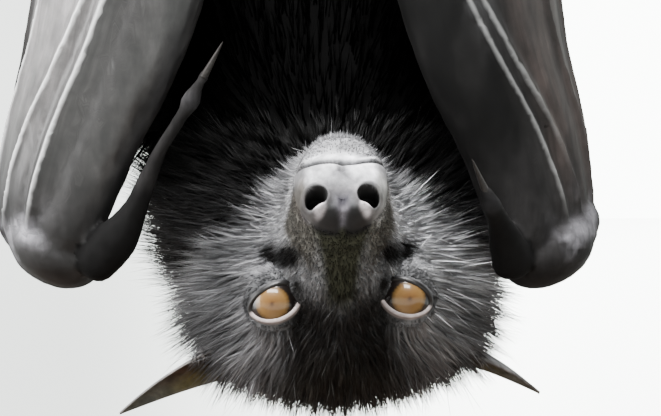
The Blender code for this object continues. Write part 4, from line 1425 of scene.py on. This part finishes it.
def mark_skin(skin, settings, coat):
    """Store where fur grows, which way it lies, its length and its colour."""
    at = Surface(skin)
    mesh = at.mesh
    nose = bare_nose(at)
    fur, way = fur_amount(at, nose), fur_way(at)
    rim = np.where(at.lid_edge > 0.2, 1.0, 0.0) * (at.part == LID)
    store(mesh, "fur_amount", fur)
    store(mesh, "fur_way", way, "FLOAT_VECTOR")
    store(mesh, "fur_length", fur_length(at, way, settings) * MM)
    store(mesh, "fur_lift", fur_lift(at))
    store_colour(mesh, "tone", skin_tone(at, fur, rim, coat))
    _, l, u = at.head.T
    gloss = np.where(at.part == BODY, read(mesh, "gloss"), np.where(at.part == EAR, 0.5, 0.0))
    wet = nose * (0.55 - 0.3 * np.exp(-(l / 2.2) ** 2) * smooth(-12.2, -10.6, u))
    store(mesh, "gloss", np.maximum(gloss, np.maximum(wet, rim)))
    unwrap_skin(at)
    lie = read(mesh, "lie", 3)
    lie[at.part != BODY] = (at.points * MM * 0.8)[at.part != BODY]
    store(mesh, "lie", lie, "FLOAT_VECTOR")
    for name in ("own_tone", "kind", "lid_edge", "lid_low", "from_root"):
        mesh.attributes.remove(mesh.attributes[name])
    return at, fur


def mesh_numbers(items, name):
    """One whole number of every item of a mesh."""
    out = np.empty(len(items), dtype=np.int32)
    items.foreach_get(name, out)
    return out


def unwrap_skin(at):
    """Unroll head and body round their own lengths onto one square."""
    mesh, points, head = at.mesh, at.points, at.head
    turn_head = np.arctan2(head[:, 2] + 9, head[:, 1]) / math.tau + 0.5
    along_head = 0.04 + 0.40 * (head[:, 0] + 44) / 84
    turn_body = np.arctan2(points[:, 1] - 14, points[:, 0]) / math.tau + 0.5
    along_body = 0.50 + 0.46 * (points[:, 2] - up(-14)) / 340
    uv = np.stack((np.where(at.on_head, turn_head, turn_body),
                   np.where(at.on_head, along_head, along_body)), axis=1)
    starts = mesh_numbers(mesh.polygons, "loop_start")
    totals = mesh_numbers(mesh.polygons, "loop_total")
    corner = uv[mesh_numbers(mesh.loops, "vertex_index")]
    order = np.argsort(starts, kind="stable")
    owner = np.repeat(order, totals[order])
    high = np.full(len(starts), -1.0)
    np.maximum.at(high, owner, corner[:, 0])
    corner[:, 0] += (high[owner] - corner[:, 0]) > 0.5
    corner[:, 0] = 0.02 + 0.94 * corner[:, 0]
    layer = mesh.uv_layers.new(name="SkinRoll")
    layer.data.foreach_set("uv", corner.astype(np.float32).ravel())


# ---------------------------------------------------------------- materials

def node_maker(tree):
    """A function that adds a node to a tree with its links, plain inputs and settings."""

    def add(kind, links=(), **values):
        node = tree.nodes.new(kind)
        for key, value in values.items():
            if key.startswith("in_"):
                name = key[3:].replace("_", " ")
                node.inputs[int(name) if name.isdigit() else name].default_value = value
            else:
                setattr(node, key, value)
        for target, source in links:
            tree.links.new(source, node.inputs[target])
        return node

    return add


def material(name):
    """A new node material, its tree, its shader and a helper that adds nodes."""
    finish = bpy.data.materials.new(name)
    finish.use_nodes = True
    tree = finish.node_tree
    return finish, tree, tree.nodes["Principled BSDF"], node_maker(tree)


def set_sockets(shader, **values):
    """Set plain values on a shader's own sockets."""
    for name, value in values.items():
        shader.inputs[name.replace("_", " ")].default_value = value


def ramp(add, source, stops):
    """A colour ramp with (place, colour) stops."""
    node = add("ShaderNodeValToRGB", ((0, source),))
    elements = node.color_ramp.elements
    elements[0].position, elements[0].color = stops[0]
    elements[1].position, elements[1].color = stops[-1]
    for place, colour in stops[1:-1]:
        extra = elements.new(place)
        extra.color = colour
    return node


def grey(value):
    """A neutral colour."""
    return (value, value, value, 1.0)


def field(add, name, output="Fac"):
    """A value that is stored on the piece."""
    return add("ShaderNodeAttribute", attribute_name=name).outputs[output]


def places(add, scale=None):
    """Places on the piece, stretched where a scale is given."""
    place = add("ShaderNodeTexCoord").outputs["Object"]
    if scale is None:
        return place
    return add("ShaderNodeMapping", ((0, place),), in_Scale=scale).outputs[0]


def finger_highlight_lines(add):
    """Thin lines of painted highlight along the fingers."""
    off = add("ShaderNodeSeparateXYZ", ((0, field(add, "finger_off", "Vector")),))
    line = None
    for k in range(3):
        away = add("ShaderNodeMath", ((0, off.outputs[k]),), operation="ABSOLUTE").outputs[0]
        near = add("ShaderNodeMapRange", ((0, away),), interpolation_type="SMOOTHSTEP",
                   in_1=0.0, in_2=LINE_WIDTH, in_3=1.0, in_4=0.0).outputs[0]
        line = near if line is None else add(
            "ShaderNodeMath", ((0, line), (1, near))).outputs[0]
    return add("ShaderNodeMath", ((0, line), (1, field(add, "painted_finger_highlight"))),
               operation="MULTIPLY").outputs[0]


def skin_material():
    """Bare wing leather, moist nose and lids, and the dark hide under the coat."""
    finish, tree, shader, add = material("bat_skin")
    gloss, lie = field(add, "gloss"), field(add, "lie", "Vector")
    streaks = add("ShaderNodeTexNoise", ((0, lie),), in_Scale=520.0, in_Detail=7.0,
                  in_Roughness=0.62).outputs[0]
    bands = add("ShaderNodeTexNoise", ((0, lie),), in_Scale=150.0,
                in_Detail=3.0).outputs[0]
    mottle = add("ShaderNodeTexNoise", ((0, places(add)),), in_Scale=170.0,
                 in_Detail=6.0, in_Roughness=0.6).outputs[0]
    shade = ramp(add, mottle, ((0.32, grey(0.62)), (0.68, grey(1.30))))
    grain = ramp(add, streaks, ((0.34, grey(0.66)), (0.66, grey(1.3))))
    band = ramp(add, bands, ((0.36, grey(0.60)), (0.64, grey(1.35))))
    plain = ramp(add, gloss, ((0.15, grey(1.0)), (0.4, grey(0.0))))
    band = add("ShaderNodeMix", ((0, plain.outputs[0]), (6, band.outputs[0])),
               data_type="RGBA", in_7=grey(1.0))
    colour = multiply(add, multiply(add, field(add, "tone", "Color"), shade.outputs[0]),
                      multiply(add, grain.outputs[0], band.outputs[2]))
    colour = add("ShaderNodeVectorMath", ((0, colour), (1, finger_highlight_lines(add))))
    tree.links.new(colour.outputs[0], shader.inputs["Base Color"])
    rough = add("ShaderNodeMapRange", ((0, streaks),), in_1=0.3, in_2=0.7,
                in_3=0.30, in_4=0.50)
    dull = add("ShaderNodeMix", ((0, gloss), (3, rough.outputs[0])), data_type="FLOAT",
               in_2=0.92)
    tree.links.new(dull.outputs[0], shader.inputs["Roughness"])
    shine = add("ShaderNodeMapRange", ((0, gloss),), in_3=0.10, in_4=0.45)
    tree.links.new(shine.outputs[0], shader.inputs["Specular IOR Level"])
    return finish


def multiply(add, first, second):
    """Product of two colours."""
    return add("ShaderNodeMix", ((6, first), (7, second)), data_type="RGBA",
               blend_type="MULTIPLY", in_0=1.0).outputs[2]


def coat_material(name, root, specular):
    """Hair in the skin's own colours, paler towards the tip."""
    finish, tree, shader, add = material(name)
    patch = add("ShaderNodeTexNoise", ((0, places(add)),), in_Scale=150.0,
                in_Detail=4.0)
    vary = add("ShaderNodeMapRange", ((0, patch.outputs[0]),), in_1=0.3, in_2=0.7,
               in_3=0.65, in_4=1.35)
    along = add("ShaderNodeMapRange", ((0, field(add, "tip")),), in_1=0.0, in_2=1.0,
                in_3=root, in_4=1.25)
    amount = add("ShaderNodeMath", ((0, along.outputs[0]), (1, field(add, "pale"))),
                 operation="MULTIPLY")
    amount = add("ShaderNodeMath", ((0, amount.outputs[0]), (1, vary.outputs[0])),
                 operation="MULTIPLY")
    scale = add("ShaderNodeVectorMath",
                ((0, field(add, "tone", "Color")), ("Scale", amount.outputs[0])),
                operation="SCALE")
    tree.links.new(scale.outputs[0], shader.inputs["Base Color"])
    set_sockets(shader, Roughness=0.5, Specular_IOR_Level=specular)
    return finish


def eye_material(settings, side):
    """Wet amber iris with a small dark centre, and a dark ball round it."""
    finish, tree, shader, add = material("bat_iris_" + SIDES[side])
    streaks = add("ShaderNodeTexNoise", ((0, field(add, "spoke", "Vector")),),
                  in_Scale=9.0, in_Detail=4.0)
    wobble = add("ShaderNodeMath", ((0, streaks.outputs[0]), (2, field(add, "from_pupil"))),
                 operation="MULTIPLY_ADD", in_1=0.10)

    def shade(*factors):
        return tuple(c * e for c, e in zip(settings.iris, factors)) + (1,)

    rings = ramp(add, wobble.outputs[0], (
        (0.0, shade(0.25, 0.18, 0.15)), (0.06, shade(0.35, 0.28, 0.25)),
        (0.13, shade(0.85, 0.75, 0.7)), (0.25, shade(1.0, 0.95, 0.9)),
        (0.37, shade(1.1, 1.1, 1.1)), (0.455, shade(0.55, 0.55, 0.5)),
        (0.50, (0.006, 0.004, 0.0035, 1)), (1.0, (0.005, 0.004, 0.004, 1))))
    tree.links.new(rings.outputs[0], shader.inputs["Base Color"])
    set_sockets(shader, Roughness=0.35, Specular_IOR_Level=0.2, Coat_Weight=0.7, Coat_IOR=1.5,
                Coat_Roughness=0.03)
    return finish


def grained(name, stretch, stops, **texture):
    """A finish whose colour follows a grain; with its node tree, shader, add and grain."""
    finish, tree, shader, add = material(name)
    grain = add("ShaderNodeTexNoise", ((0, places(add, stretch)),), **texture)
    colour = ramp(add, grain.outputs[0], [(place, (*tone, 1)) for place, tone in stops])
    tree.links.new(colour.outputs[0], shader.inputs["Base Color"])
    return finish, tree, shader, add, grain


def horn_material():
    """Dark polished horn with a fine grain."""
    finish, _, shader, _, _ = grained(
        "claw_horn", None, ((0.3, (0.008, 0.0065, 0.006)), (0.75, (0.024, 0.021, 0.019))),
        in_Scale=1200.0, in_Detail=4.0)
    set_sockets(shader, Roughness=0.45, Specular_IOR_Level=0.22)
    return finish


def wood_material():
    """Oiled dark wood with long grain."""
    finish, _, shader, _, _ = grained(
        "stand_wood", (0.08, 1, 1), ((0.3, (0.030, 0.016, 0.009)), (0.7, (0.105, 0.060, 0.034))),
        in_Scale=420.0, in_Detail=8.0, in_Distortion=0.6)
    set_sockets(shader, Roughness=0.42)
    return finish


def bark_material():
    """Grey-brown bark with paler specks."""
    finish, _, shader, _, _ = grained(
        "perch_bark", (0.35, 1, 1), ((0.3, (0.045, 0.032, 0.022)),
                                     (0.55, (0.14, 0.105, 0.075)), (0.78, (0.26, 0.24, 0.20))),
        in_Scale=300.0, in_Detail=8.0, in_Roughness=0.65)
    set_sockets(shader, Roughness=0.85)
    return finish


def steel_material():
    """Satin drawn steel."""
    finish, tree, shader, add, grain = grained(
        "stand_steel", (1, 1, 0.02), ((0.3, (0.36, 0.36, 0.37)), (0.7, (0.50, 0.50, 0.51))),
        in_Scale=2500.0, in_Detail=4.0)
    rough = add("ShaderNodeMapRange", ((0, grain.outputs[0]),), in_3=0.22, in_4=0.42)
    tree.links.new(rough.outputs[0], shader.inputs["Roughness"])
    set_sockets(shader, Metallic=1.0)
    return finish


def floor_material():
    """Pale polished floor."""
    finish, _, shader, _ = material("pale_floor")
    set_sockets(shader, Base_Color=(0.40, 0.42, 0.405, 1), Roughness=0.05,
                Specular_IOR_Level=0.9)
    return finish


# ---------------------------------------------------------------- coat

def tuft_mesh(name, strands, segments, width, seed, splay, curl):
    """One tuft of unit length along +Z: closed three-sided hairs that taper to a point."""
    draw = np.random.default_rng(seed)
    points, faces, tips, patch = [], [], [], []
    for _ in range(strands):
        turn = draw.uniform(0, math.tau)
        root = np.array((math.cos(turn), math.sin(turn), 0)) * draw.uniform(0, splay * 0.5)
        lean = np.array((draw.normal(0, splay), draw.normal(0, splay), 0))
        hook = np.array((curl * draw.uniform(0.4, 1.3), draw.normal(0, curl * 0.5), 0))
        tall = draw.uniform(0.72, 1.0)
        first = len(points)
        face_turn = draw.uniform(0, math.tau)
        for s in range(segments):
            t = s / segments
            centre = root + lean * t + hook * t * t + np.array((0, 0, tall * t))
            size = width * (1 - 0.45 * t)
            for c in range(3):
                w = face_turn + c * math.tau / 3
                points.append(centre + size * np.array((math.cos(w), math.sin(w), 0)))
                tips.append(t)
                patch.append(((c + 0.5) / 3, t))
        points.append(root + lean + hook + np.array((0, 0, tall)))
        tips.append(1.0)
        patch.append((0.5, 1.0))
        apex = len(points) - 1
        faces.append((first + 2, first + 1, first))
        for s in range(segments - 1):
            a = first + 3 * s
            for c in range(3):
                d = (c + 1) % 3
                faces.append((a + c, a + d, a + 3 + d, a + 3 + c))
        a = first + 3 * (segments - 1)
        for c in range(3):
            faces.append((a + c, a + (c + 1) % 3, apex))
    mesh = bpy.data.meshes.new(name)
    mesh.from_pydata([tuple(q) for q in points], [], faces)
    round_shading(mesh)
    store(mesh, "tip", tips)
    store(mesh, "patch", np.array(patch), "FLOAT2")
    return add_object(name, mesh)


def coat_tree():
    """Geometry Nodes: scatter tufts over the skin along the lie of the coat."""
    tree = bpy.data.node_groups.new("Coat over skin", "GeometryNodeTree")
    face = tree.interface
    face.new_socket("Geometry", in_out="OUTPUT", socket_type="NodeSocketGeometry")
    for name, kind in (("Geometry", "Geometry"), ("Tuft", "Object"), ("Density", "Float"),
                       ("Thickness", "Float"), ("Length", "Float"), ("Lift", "Float"),
                       ("Disorder", "Float"), ("Patch", "Float"), ("Seed", "Int"),
                       ("Finish", "Material")):
        face.new_socket(name, in_out="INPUT", socket_type="NodeSocket" + kind)
    add = node_maker(tree)
    given, end = add("NodeGroupInput").outputs, add("NodeGroupOutput")

    def number(operation, first, second):
        if isinstance(second, float):
            return add("ShaderNodeMath", ((0, first),), operation=operation,
                       in_1=second).outputs[0]
        return add("ShaderNodeMath", ((0, first), (1, second)), operation=operation).outputs[0]

    def vector(operation, first, second):
        target = "Scale" if operation == "SCALE" else 1
        return add("ShaderNodeVectorMath", ((0, first), (target, second)),
                   operation=operation).outputs[0]

    def attribute(name, kind="FLOAT"):
        return add("GeometryNodeInputNamedAttribute", data_type=kind,
                   in_Name=name).outputs["Attribute"]

    def draw(low, high, offset):
        seed = number("ADD", given["Seed"], float(offset))
        return add("FunctionNodeRandomValue", (("Seed", seed),), data_type="FLOAT",
                   in_2=low, in_3=high).outputs[1]

    def draw_way(reach, offset):
        seed = number("ADD", given["Seed"], float(offset))
        return add("FunctionNodeRandomValue", (("Seed", seed),), data_type="FLOAT_VECTOR",
                   in_0=(-reach,) * 3, in_1=(reach,) * 3).outputs[0]

    scatter = add("GeometryNodeDistributePointsOnFaces", (
        ("Mesh", given["Geometry"]), ("Seed", given["Seed"]),
        ("Density", number("MULTIPLY", given["Density"], attribute("fur_amount")))))
    normal = scatter.outputs["Normal"]
    lift = number("MULTIPLY", attribute("fur_lift"), given["Lift"])
    lift = number("MULTIPLY", lift, draw(0.5, 1.5, 11))
    way = vector("ADD", attribute("fur_way", "FLOAT_VECTOR"), vector("SCALE", normal, lift))
    way = vector("ADD", way, vector("SCALE", draw_way(1, 12), given["Disorder"]))
    turn = add("FunctionNodeAxesToRotation",
               ((0, way), (1, vector("SUBTRACT", draw_way(0.7, 13), normal))),
               primary_axis="Z", secondary_axis="X")
    tall = number("MULTIPLY", attribute("fur_length"), given["Length"])
    tall = number("MULTIPLY", tall, draw(0.65, 1.2, 14))
    wide = number("MULTIPLY", given["Thickness"], draw(0.75, 1.25, 15))
    size = add("ShaderNodeCombineXYZ", ((0, wide), (1, wide), (2, tall)))
    source = add("GeometryNodeObjectInfo", (("Object", given["Tuft"]),))
    plant = add("GeometryNodeInstanceOnPoints", (
        ("Points", scatter.outputs["Points"]), ("Instance", source.outputs["Geometry"]),
        ("Rotation", turn.outputs[0]), ("Scale", size.outputs[0])))
    bright = number("MULTIPLY", number("POWER", draw(0.0, 1.0, 16), 6.0), 1.7)
    keep = add("GeometryNodeStoreNamedAttribute",
               (("Geometry", plant.outputs[0]), ("Value", number("ADD", bright, 0.75))),
               domain="INSTANCE", in_Name="pale")
    solid = add("GeometryNodeRealizeInstances", ((0, keep.outputs[0]),))
    patch = vector("SCALE", attribute("patch", "FLOAT_VECTOR"), given["Patch"])
    spot = vector("ADD", attribute("SkinRoll", "FLOAT_VECTOR"), patch)
    unwrap = add("GeometryNodeStoreNamedAttribute",
                 (("Geometry", solid.outputs[0]), ("Value", spot)),
                 data_type="FLOAT2", domain="CORNER", in_Name="OFBake")
    paint = add("GeometryNodeSetMaterial",
                (("Geometry", unwrap.outputs[0]), ("Material", given["Finish"])))
    tree.links.new(paint.outputs[0], end.inputs[0])
    return tree


def region(skin, keep, name):
    """The furred faces of one region as a scratch mesh for scattering."""
    shape = bmesh.new()
    shape.from_mesh(skin.data)
    shape.verts.ensure_lookup_table()
    drop = [f for f in shape.faces if not all(keep[v.index] for v in f.verts)]
    bmesh.ops.delete(shape, geom=drop, context="FACES")
    mesh = bpy.data.meshes.new(name)
    shape.to_mesh(mesh)
    shape.free()
    return add_object(name, mesh)


def grow_coat(name, skin, keep, tuft, finish, density, thickness, length, disorder, seed):
    """One piece of the coat as a plain mesh."""
    ground = region(skin, keep, name)
    tree = bpy.data.node_groups.get("Coat over skin") or coat_tree()
    modifier = ground.modifiers.new("coat", "NODES")
    modifier.node_group = tree
    values = {"Tuft": tuft, "Density": density, "Thickness": thickness, "Length": length,
              "Lift": 1.0, "Disorder": disorder, "Patch": TUFT_PATCH, "Seed": seed,
              "Finish": finish}
    for item in tree.interface.items_tree:
        if item.in_out == "INPUT" and item.name in values:
            modifier[item.identifier] = values[item.name]
    graph = bpy.context.evaluated_depsgraph_get()
    mesh = bpy.data.meshes.new_from_object(ground.evaluated_get(graph))
    bpy.data.objects.remove(ground, do_unlink=True)
    kept = {"tip", "pale", "tone", "OFBake", "position", "material_index"}
    for layer in [a.name for a in mesh.attributes if not a.is_internal]:
        if layer not in kept and not mesh.attributes[layer].is_required:
            mesh.attributes.remove(mesh.attributes[layer])
    mesh.name = name
    triangles = sum(len(p.vertices) - 2 for p in mesh.polygons)
    if not 0 < triangles < MOST_TRIANGLES:
        raise RuntimeError("%s has %d triangles" % (name, triangles))
    return add_object(name, mesh)


def coat_plans(at, settings, short, long, guard):
    """Each piece of the coat: its region of the skin, tuft, density, size and finish."""
    f, _, u = at.head.T
    head, low = at.on_head, at.height < 34
    muzzle = head & (f > 6)
    body = ~head & (at.height >= 32)
    front, rear = at.points[:, 1] < 13, at.points[:, 1] >= 11
    lower, upper = body & (at.height < 110), body & (at.height >= 108)
    face, crown = settings.face_density, settings.head_density
    trunk = settings.body_density
    # region, tuft, tufts per square metre, thickness, length, disorder, finish
    return (
        ("coat_muzzle", muzzle, short, face, 0.00045, 1.0, 0.20, FACE_COAT),
        ("coat_face", head & (f > -8) & (f <= 8), short, face * 0.9, 0.0007, 1.0, 0.26,
         FACE_COAT),
        ("coat_crown", head & (f <= -6) & (u > -6), long, crown, 0.0010, 1.0, 0.30,
         GREY_COAT),
        ("coat_cheeks", head & (f <= -6) & (u <= -6), long, crown, 0.0010, 1.0, 0.34,
         GREY_COAT),
        ("coat_shoulders", ~head & low, long, settings.shoulder_density, 0.0011, 1.0, 0.32,
         GREY_COAT),
        ("coat_chest", lower & front, long, trunk * 1.33, 0.0008, 1.0, 0.20, BLACK_COAT),
        ("coat_back", lower & rear, long, trunk * 1.8, 0.0013, 1.0, 0.16, BLACK_COAT),
        ("coat_belly", upper & front, long, trunk * 0.8, 0.0013, 1.0, 0.14, BLACK_COAT),
        ("coat_rump", upper & rear, long, trunk * 0.8, 0.0018, 1.0, 0.14, BLACK_COAT),
        ("coat_guard", (head & (f <= 10)) | (~head & low), guard, settings.guard_density,
         0.0010, 1.5, 0.60, GUARD_COAT),
        ("coat_chin", muzzle & (u < -17) & (f < 32), guard, settings.chin_density,
         0.0008, 1.15, 0.70, GUARD_COAT),
        ("coat_whiskers", muzzle & (f > 12) & (f < 27) & (u < -6), guard,
         settings.whisker_density, 0.0006, 4.5, 0.45, GUARD_COAT),
    )


# ---------------------------------------------------------------- eyes and claws

def build_eyeball(side, settings):
    """One eyeball with a slight bulge, turned to its gaze."""
    radius = settings.eye_radius / MM
    centre = eye_frame(side, settings)[0]
    gaze = unit(np.array((math.cos(HEAD_PITCH + GAZE_DROP), side * math.sin(GAZE_TURN),
                          math.sin(HEAD_PITCH + GAZE_DROP))))
    right = unit(np.cross(gaze, (0, 0, 1.0)))
    top = np.cross(right, gaze)
    angle = np.linspace(0.012, math.pi - 0.012, EYE_RINGS)
    w = np.linspace(0, math.tau, EYE_AROUND, endpoint=False)
    bulge = radius + 0.28 * np.exp(-(angle / 0.55) ** 2)
    d = (gaze[None, None] * np.cos(angle)[:, None, None]
         + (right[None] * np.cos(w)[:, None] + top[None] * np.sin(w)[:, None])[None]
         * np.sin(angle)[:, None, None])
    points = to_world((centre + d * bulge[:, None, None]).reshape(-1, 3))
    eye = shell("eyeball_" + SIDES[side], points, EYE_AROUND)
    turn = np.repeat(angle / math.radians(80), EYE_AROUND)
    store(eye.data, "from_pupil", np.clip(turn, 0, 1))
    ways = np.stack((np.tile(np.cos(w), EYE_RINGS), np.tile(np.sin(w), EYE_RINGS),
                     np.repeat(angle * 0.25, EYE_AROUND)), axis=1)
    store(eye.data, "spoke", ways, "FLOAT_VECTOR")
    eye.data.materials.append(eye_material(settings, side))
    return eye


def build_thumb_claw(side):
    """The hooked claw at the end of a thumb."""
    before, tip = (np.array(row[:3]) for row in THUMB_STATIONS[side][-2:])
    way = unit(tip - before)
    rows = []
    for t in np.linspace(0, 1, CLAW_RINGS):
        spot = tip + way * (-0.6 + (THUMB_CLAW_LENGTH + 1.8) * t) + np.array(
            (0, -1, 0)) * 2.0 * t * t
        size = 0.98 * (1 - t) ** 0.75 + 0.07
        rows.append((*spot, size * 0.8, size))
    return shell("claw_thumb_" + SIDES[side], tube_points(rows, 16, side, rounded=False), 16)


def build_toe_claws(side):
    """The five claws of a foot, closed over the perch."""
    claws = []
    t = np.linspace(0, 1, CLAW_RINGS)
    for toe in range(TOE_COUNT):
        path = toe_arc(toe, 112, 178, 1.3, 0.08, CLAW_RINGS)
        path[:, 3] = 1.25 * (1 - t) ** 0.7 + 0.06
        path[:, 4] = 1.5 * (1 - t) ** 0.7 + 0.06
        points = tube_points(path, TOE_AROUND, side, rounded=False)
        claws.append(shell("claw", points, TOE_AROUND))
    return join(claws, "claws_foot_" + SIDES[side])


# ---------------------------------------------------------------- operators

BUILT = {}


class BAT_OT_skin(bpy.types.Operator):
    """Build the bat's skin in one piece"""

    bl_idname = "bat.skin"
    bl_label = "Skin"

    def execute(self, context):
        settings = context.scene.bat_skin
        parts = [(build_flesh(settings), BODY), (build_head(settings), HEAD)]
        parts += [(build_ear(side), EAR) for side in SIDES]
        parts += [(lid_patch(side, settings), LID) for side in SIDES]
        for obj, part in parts:
            store(obj.data, "part", np.full(len(obj.data.vertices), part))
        skin = join([obj for obj, _ in parts], "skin")
        at, fur = mark_skin(skin, settings, context.scene.bat_coat)
        BUILT.update(skin=skin, at=at, fur=fur)
        skin.data.materials.append(skin_material())
        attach(skin, "root")
        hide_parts("head", "lower_jaw", "neck", "chest", "belly", "rump",
                    *(part + "_" + label for label in ("left", "right") for part in (
                        "ear", "upper_arm", "forearm", "wrist", "hand", "wing_web",
                        "thumb", "thigh", "shin", "foot")))
        return {"FINISHED"}


class BAT_OT_coat(bpy.types.Operator):
    """Grow the coat in tufts over the skin"""

    bl_idname = "bat.coat"
    bl_label = "Coat"

    def execute(self, context):
        settings = context.scene.bat_coat
        coats = {FACE_COAT: coat_material("coat_face", settings.face_root, 0.14),
                 GREY_COAT: coat_material("coat_grey", settings.root_shade, 0.14),
                 GUARD_COAT: coat_material("coat_guard", 1.9, 0.3),
                 BLACK_COAT: coat_material("coat_black", 0.6, 0.0)}
        tufts = (tuft_mesh("short_tuft", 6, 1, 0.085, 5, 0.30, 0.5),
                 tuft_mesh("long_tuft", 5, 2, 0.085, 6, 0.50, 0.9),
                 tuft_mesh("guard_hair", 1, 5, 0.05, 7, 0.3, 0.35))
        furred = BUILT["fur"] > 0.3
        plans = coat_plans(BUILT["at"], settings, *tufts)
        for i, (name, keep, tuft, density, thick, length, disorder, kind) in enumerate(plans):
            piece = grow_coat(name, BUILT["skin"], keep & furred, tuft, coats[kind], density,
                              thick, length, disorder, FIRST_SEED + i)
            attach(piece, "root")
        for tuft in tufts:
            bpy.data.objects.remove(tuft, do_unlink=True)
        return {"FINISHED"}


class BAT_OT_eyes(bpy.types.Operator):
    """Build both eyeballs"""

    bl_idname = "bat.eyes"
    bl_label = "Eyes"

    def execute(self, context):
        for side, label in SIDES.items():
            eye = build_eyeball(side, context.scene.bat_skin)
            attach(eye, "root")
            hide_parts("eye_" + label)
        return {"FINISHED"}


class BAT_OT_claws(bpy.types.Operator):
    """Build the claws of the thumbs and the toes"""

    bl_idname = "bat.claws"
    bl_label = "Claws"

    def execute(self, context):
        finish = horn_material()
        for side, label in SIDES.items():
            claw = build_thumb_claw(side)
            claw.data.materials.append(finish)
            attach(claw, "root")
            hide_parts("thumb_claw_" + label)
            claws = build_toe_claws(side)
            claws.data.materials.append(finish)
            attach(claws, "root")
            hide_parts(*("toe_claw_%s_%d" % (label, i + 1) for i in range(TOE_COUNT)))
        return {"FINISHED"}


class BAT_OT_stand(bpy.types.Operator):
    """Finish the perch and the display stand"""

    bl_idname = "bat.stand"
    bl_label = "Perch and stand"

    def execute(self, context):
        for name, finish in (("stand_base", wood_material), ("stand_rod_left", steel_material),
                             ("stand_rod_right", steel_material), ("perch", bark_material)):
            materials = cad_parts[name].data.materials
            materials.clear()
            materials.append(finish())
        return {"FINISHED"}


def room_light(settings):
    """An even room, dim in front and bright behind, brightest at the right of the wall."""
    world = bpy.data.worlds.new("soft_room")
    world.use_nodes = True
    tree = world.node_tree
    add = node_maker(tree)
    glow = tree.nodes["Background"]
    glow.inputs[0].default_value = (0.955, 1.0, 0.965, 1)
    way = add("ShaderNodeSeparateXYZ",
              ((0, add("ShaderNodeTexCoord").outputs["Generated"]),))

    def ranged(source, low, high, first, last):
        return add("ShaderNodeMapRange", ((0, way.outputs[source]),),
                   interpolation_type="SMOOTHSTEP", in_1=low, in_2=high, in_3=first,
                   in_4=last).outputs[0]

    wall = ranged("Y", 0.0, 0.55, settings.room, settings.wall)
    bright = add("ShaderNodeMath", ((0, ranged("Y", 0.955, 0.995, 0.0, 1.0)),
                                    (1, ranged("X", -0.075, 0.06, 0.4, 9.0))),
                 operation="MULTIPLY").outputs[0]
    total = add("ShaderNodeMath", ((0, wall), (1, bright))).outputs[0]
    tree.links.new(total, glow.inputs[1])
    return world


def hang_panel(name, spot, width, high, power):
    """A soft rectangular light that is aimed at the bat."""
    light = bpy.data.lights.new(name, "AREA")
    light.shape = "RECTANGLE"
    light.size, light.size_y, light.energy = width, high, power
    obj = add_object(name, light)
    obj.location = spot
    aim = Vector(LIGHTS_AIM) - Vector(spot)
    obj.rotation_euler = aim.to_track_quat("-Z", "Y").to_euler()


def set_camera(settings):
    """A level camera in front of the face, a little above the eyes."""
    camera = bpy.data.cameras.new("camera")
    camera.lens = camera.sensor_width * settings.distance / settings.view_width
    camera.clip_start = 0.01
    viewer = add_object("camera", camera)
    viewer.location = (FACE_X * MM + CAMERA_ASIDE, FACE_Y * MM - settings.distance,
                       EYE_LINE_Z * MM + CAMERA_ABOVE)
    viewer.rotation_euler = (math.pi / 2, 0, 0)
    return viewer


class BAT_OT_stage(bpy.types.Operator):
    """Lay the floor and set the light and the camera"""

    bl_idname = "bat.stage"
    bl_label = "Stage"

    def execute(self, context):
        settings = context.scene.bat_stage
        corners = [(x * FLOOR_REACH, y * FLOOR_REACH, 0)
                   for x, y in ((-1, -1), (1, -1), (1, 1), (-1, 1))]
        floor = mesh_object("floor", corners, [(0, 1, 2, 3)])
        floor.data.materials.append(floor_material())
        context.scene.world = room_light(settings)
        hang_panel("top_panel", (-0.15, -0.5, 1.8), 0.8, 0.8, settings.top_light)
        hang_panel("window_panel", (-0.22, -0.98, 1.14), 1.3, 0.32, settings.window_light)
        hang_panel("side_panel", (-1.8, -0.1, 0.35), 1.1, 1.1, settings.side_light)
        context.scene.camera = set_camera(settings)
        return {"FINISHED"}


class BAT_PT_panel(bpy.types.Panel):
    """Lists the steps that build the bat"""

    bl_idname = "BAT_PT_panel"
    bl_label = "Flying fox"
    bl_space_type = "VIEW_3D"
    bl_region_type = "UI"
    bl_category = "Flying fox"

    def draw(self, context):
        layout = self.layout
        for group, steps in ((context.scene.bat_skin, ("bat.skin", "bat.eyes",
                                                       "bat.claws")),
                             (context.scene.bat_coat, ("bat.coat",)),
                             (context.scene.bat_stage, ("bat.stand", "bat.stage"))):
            box = layout.box()
            for key in group.bl_rna.properties.keys():
                if key not in {"rna_type", "name"}:
                    box.prop(group, key)
            for step in steps:
                box.operator(step)


CLASSES = (SkinSettings, CoatSettings, StageSettings, BAT_OT_skin, BAT_OT_coat,
           BAT_OT_eyes, BAT_OT_claws, BAT_OT_stand, BAT_OT_stage, BAT_PT_panel)
GROUPS = (("bat_skin", SkinSettings), ("bat_coat", CoatSettings),
          ("bat_stage", StageSettings))


def register():
    """Add the classes and their settings."""
    for cls in CLASSES:
        bpy.utils.register_class(cls)
    for name, group in GROUPS:
        setattr(bpy.types.Scene, name, bpy.props.PointerProperty(type=group))


def unregister():
    """Remove the settings and the classes."""
    for name, _ in GROUPS:
        delattr(bpy.types.Scene, name)
    for cls in reversed(CLASSES):
        bpy.utils.unregister_class(cls)


def main():
    """Build everything in order."""
    register()
    for step in ("stage", "skin", "eyes", "claws", "stand", "coat"):
        getattr(bpy.ops.bat, step)()


if __name__ == "__main__":
    main()
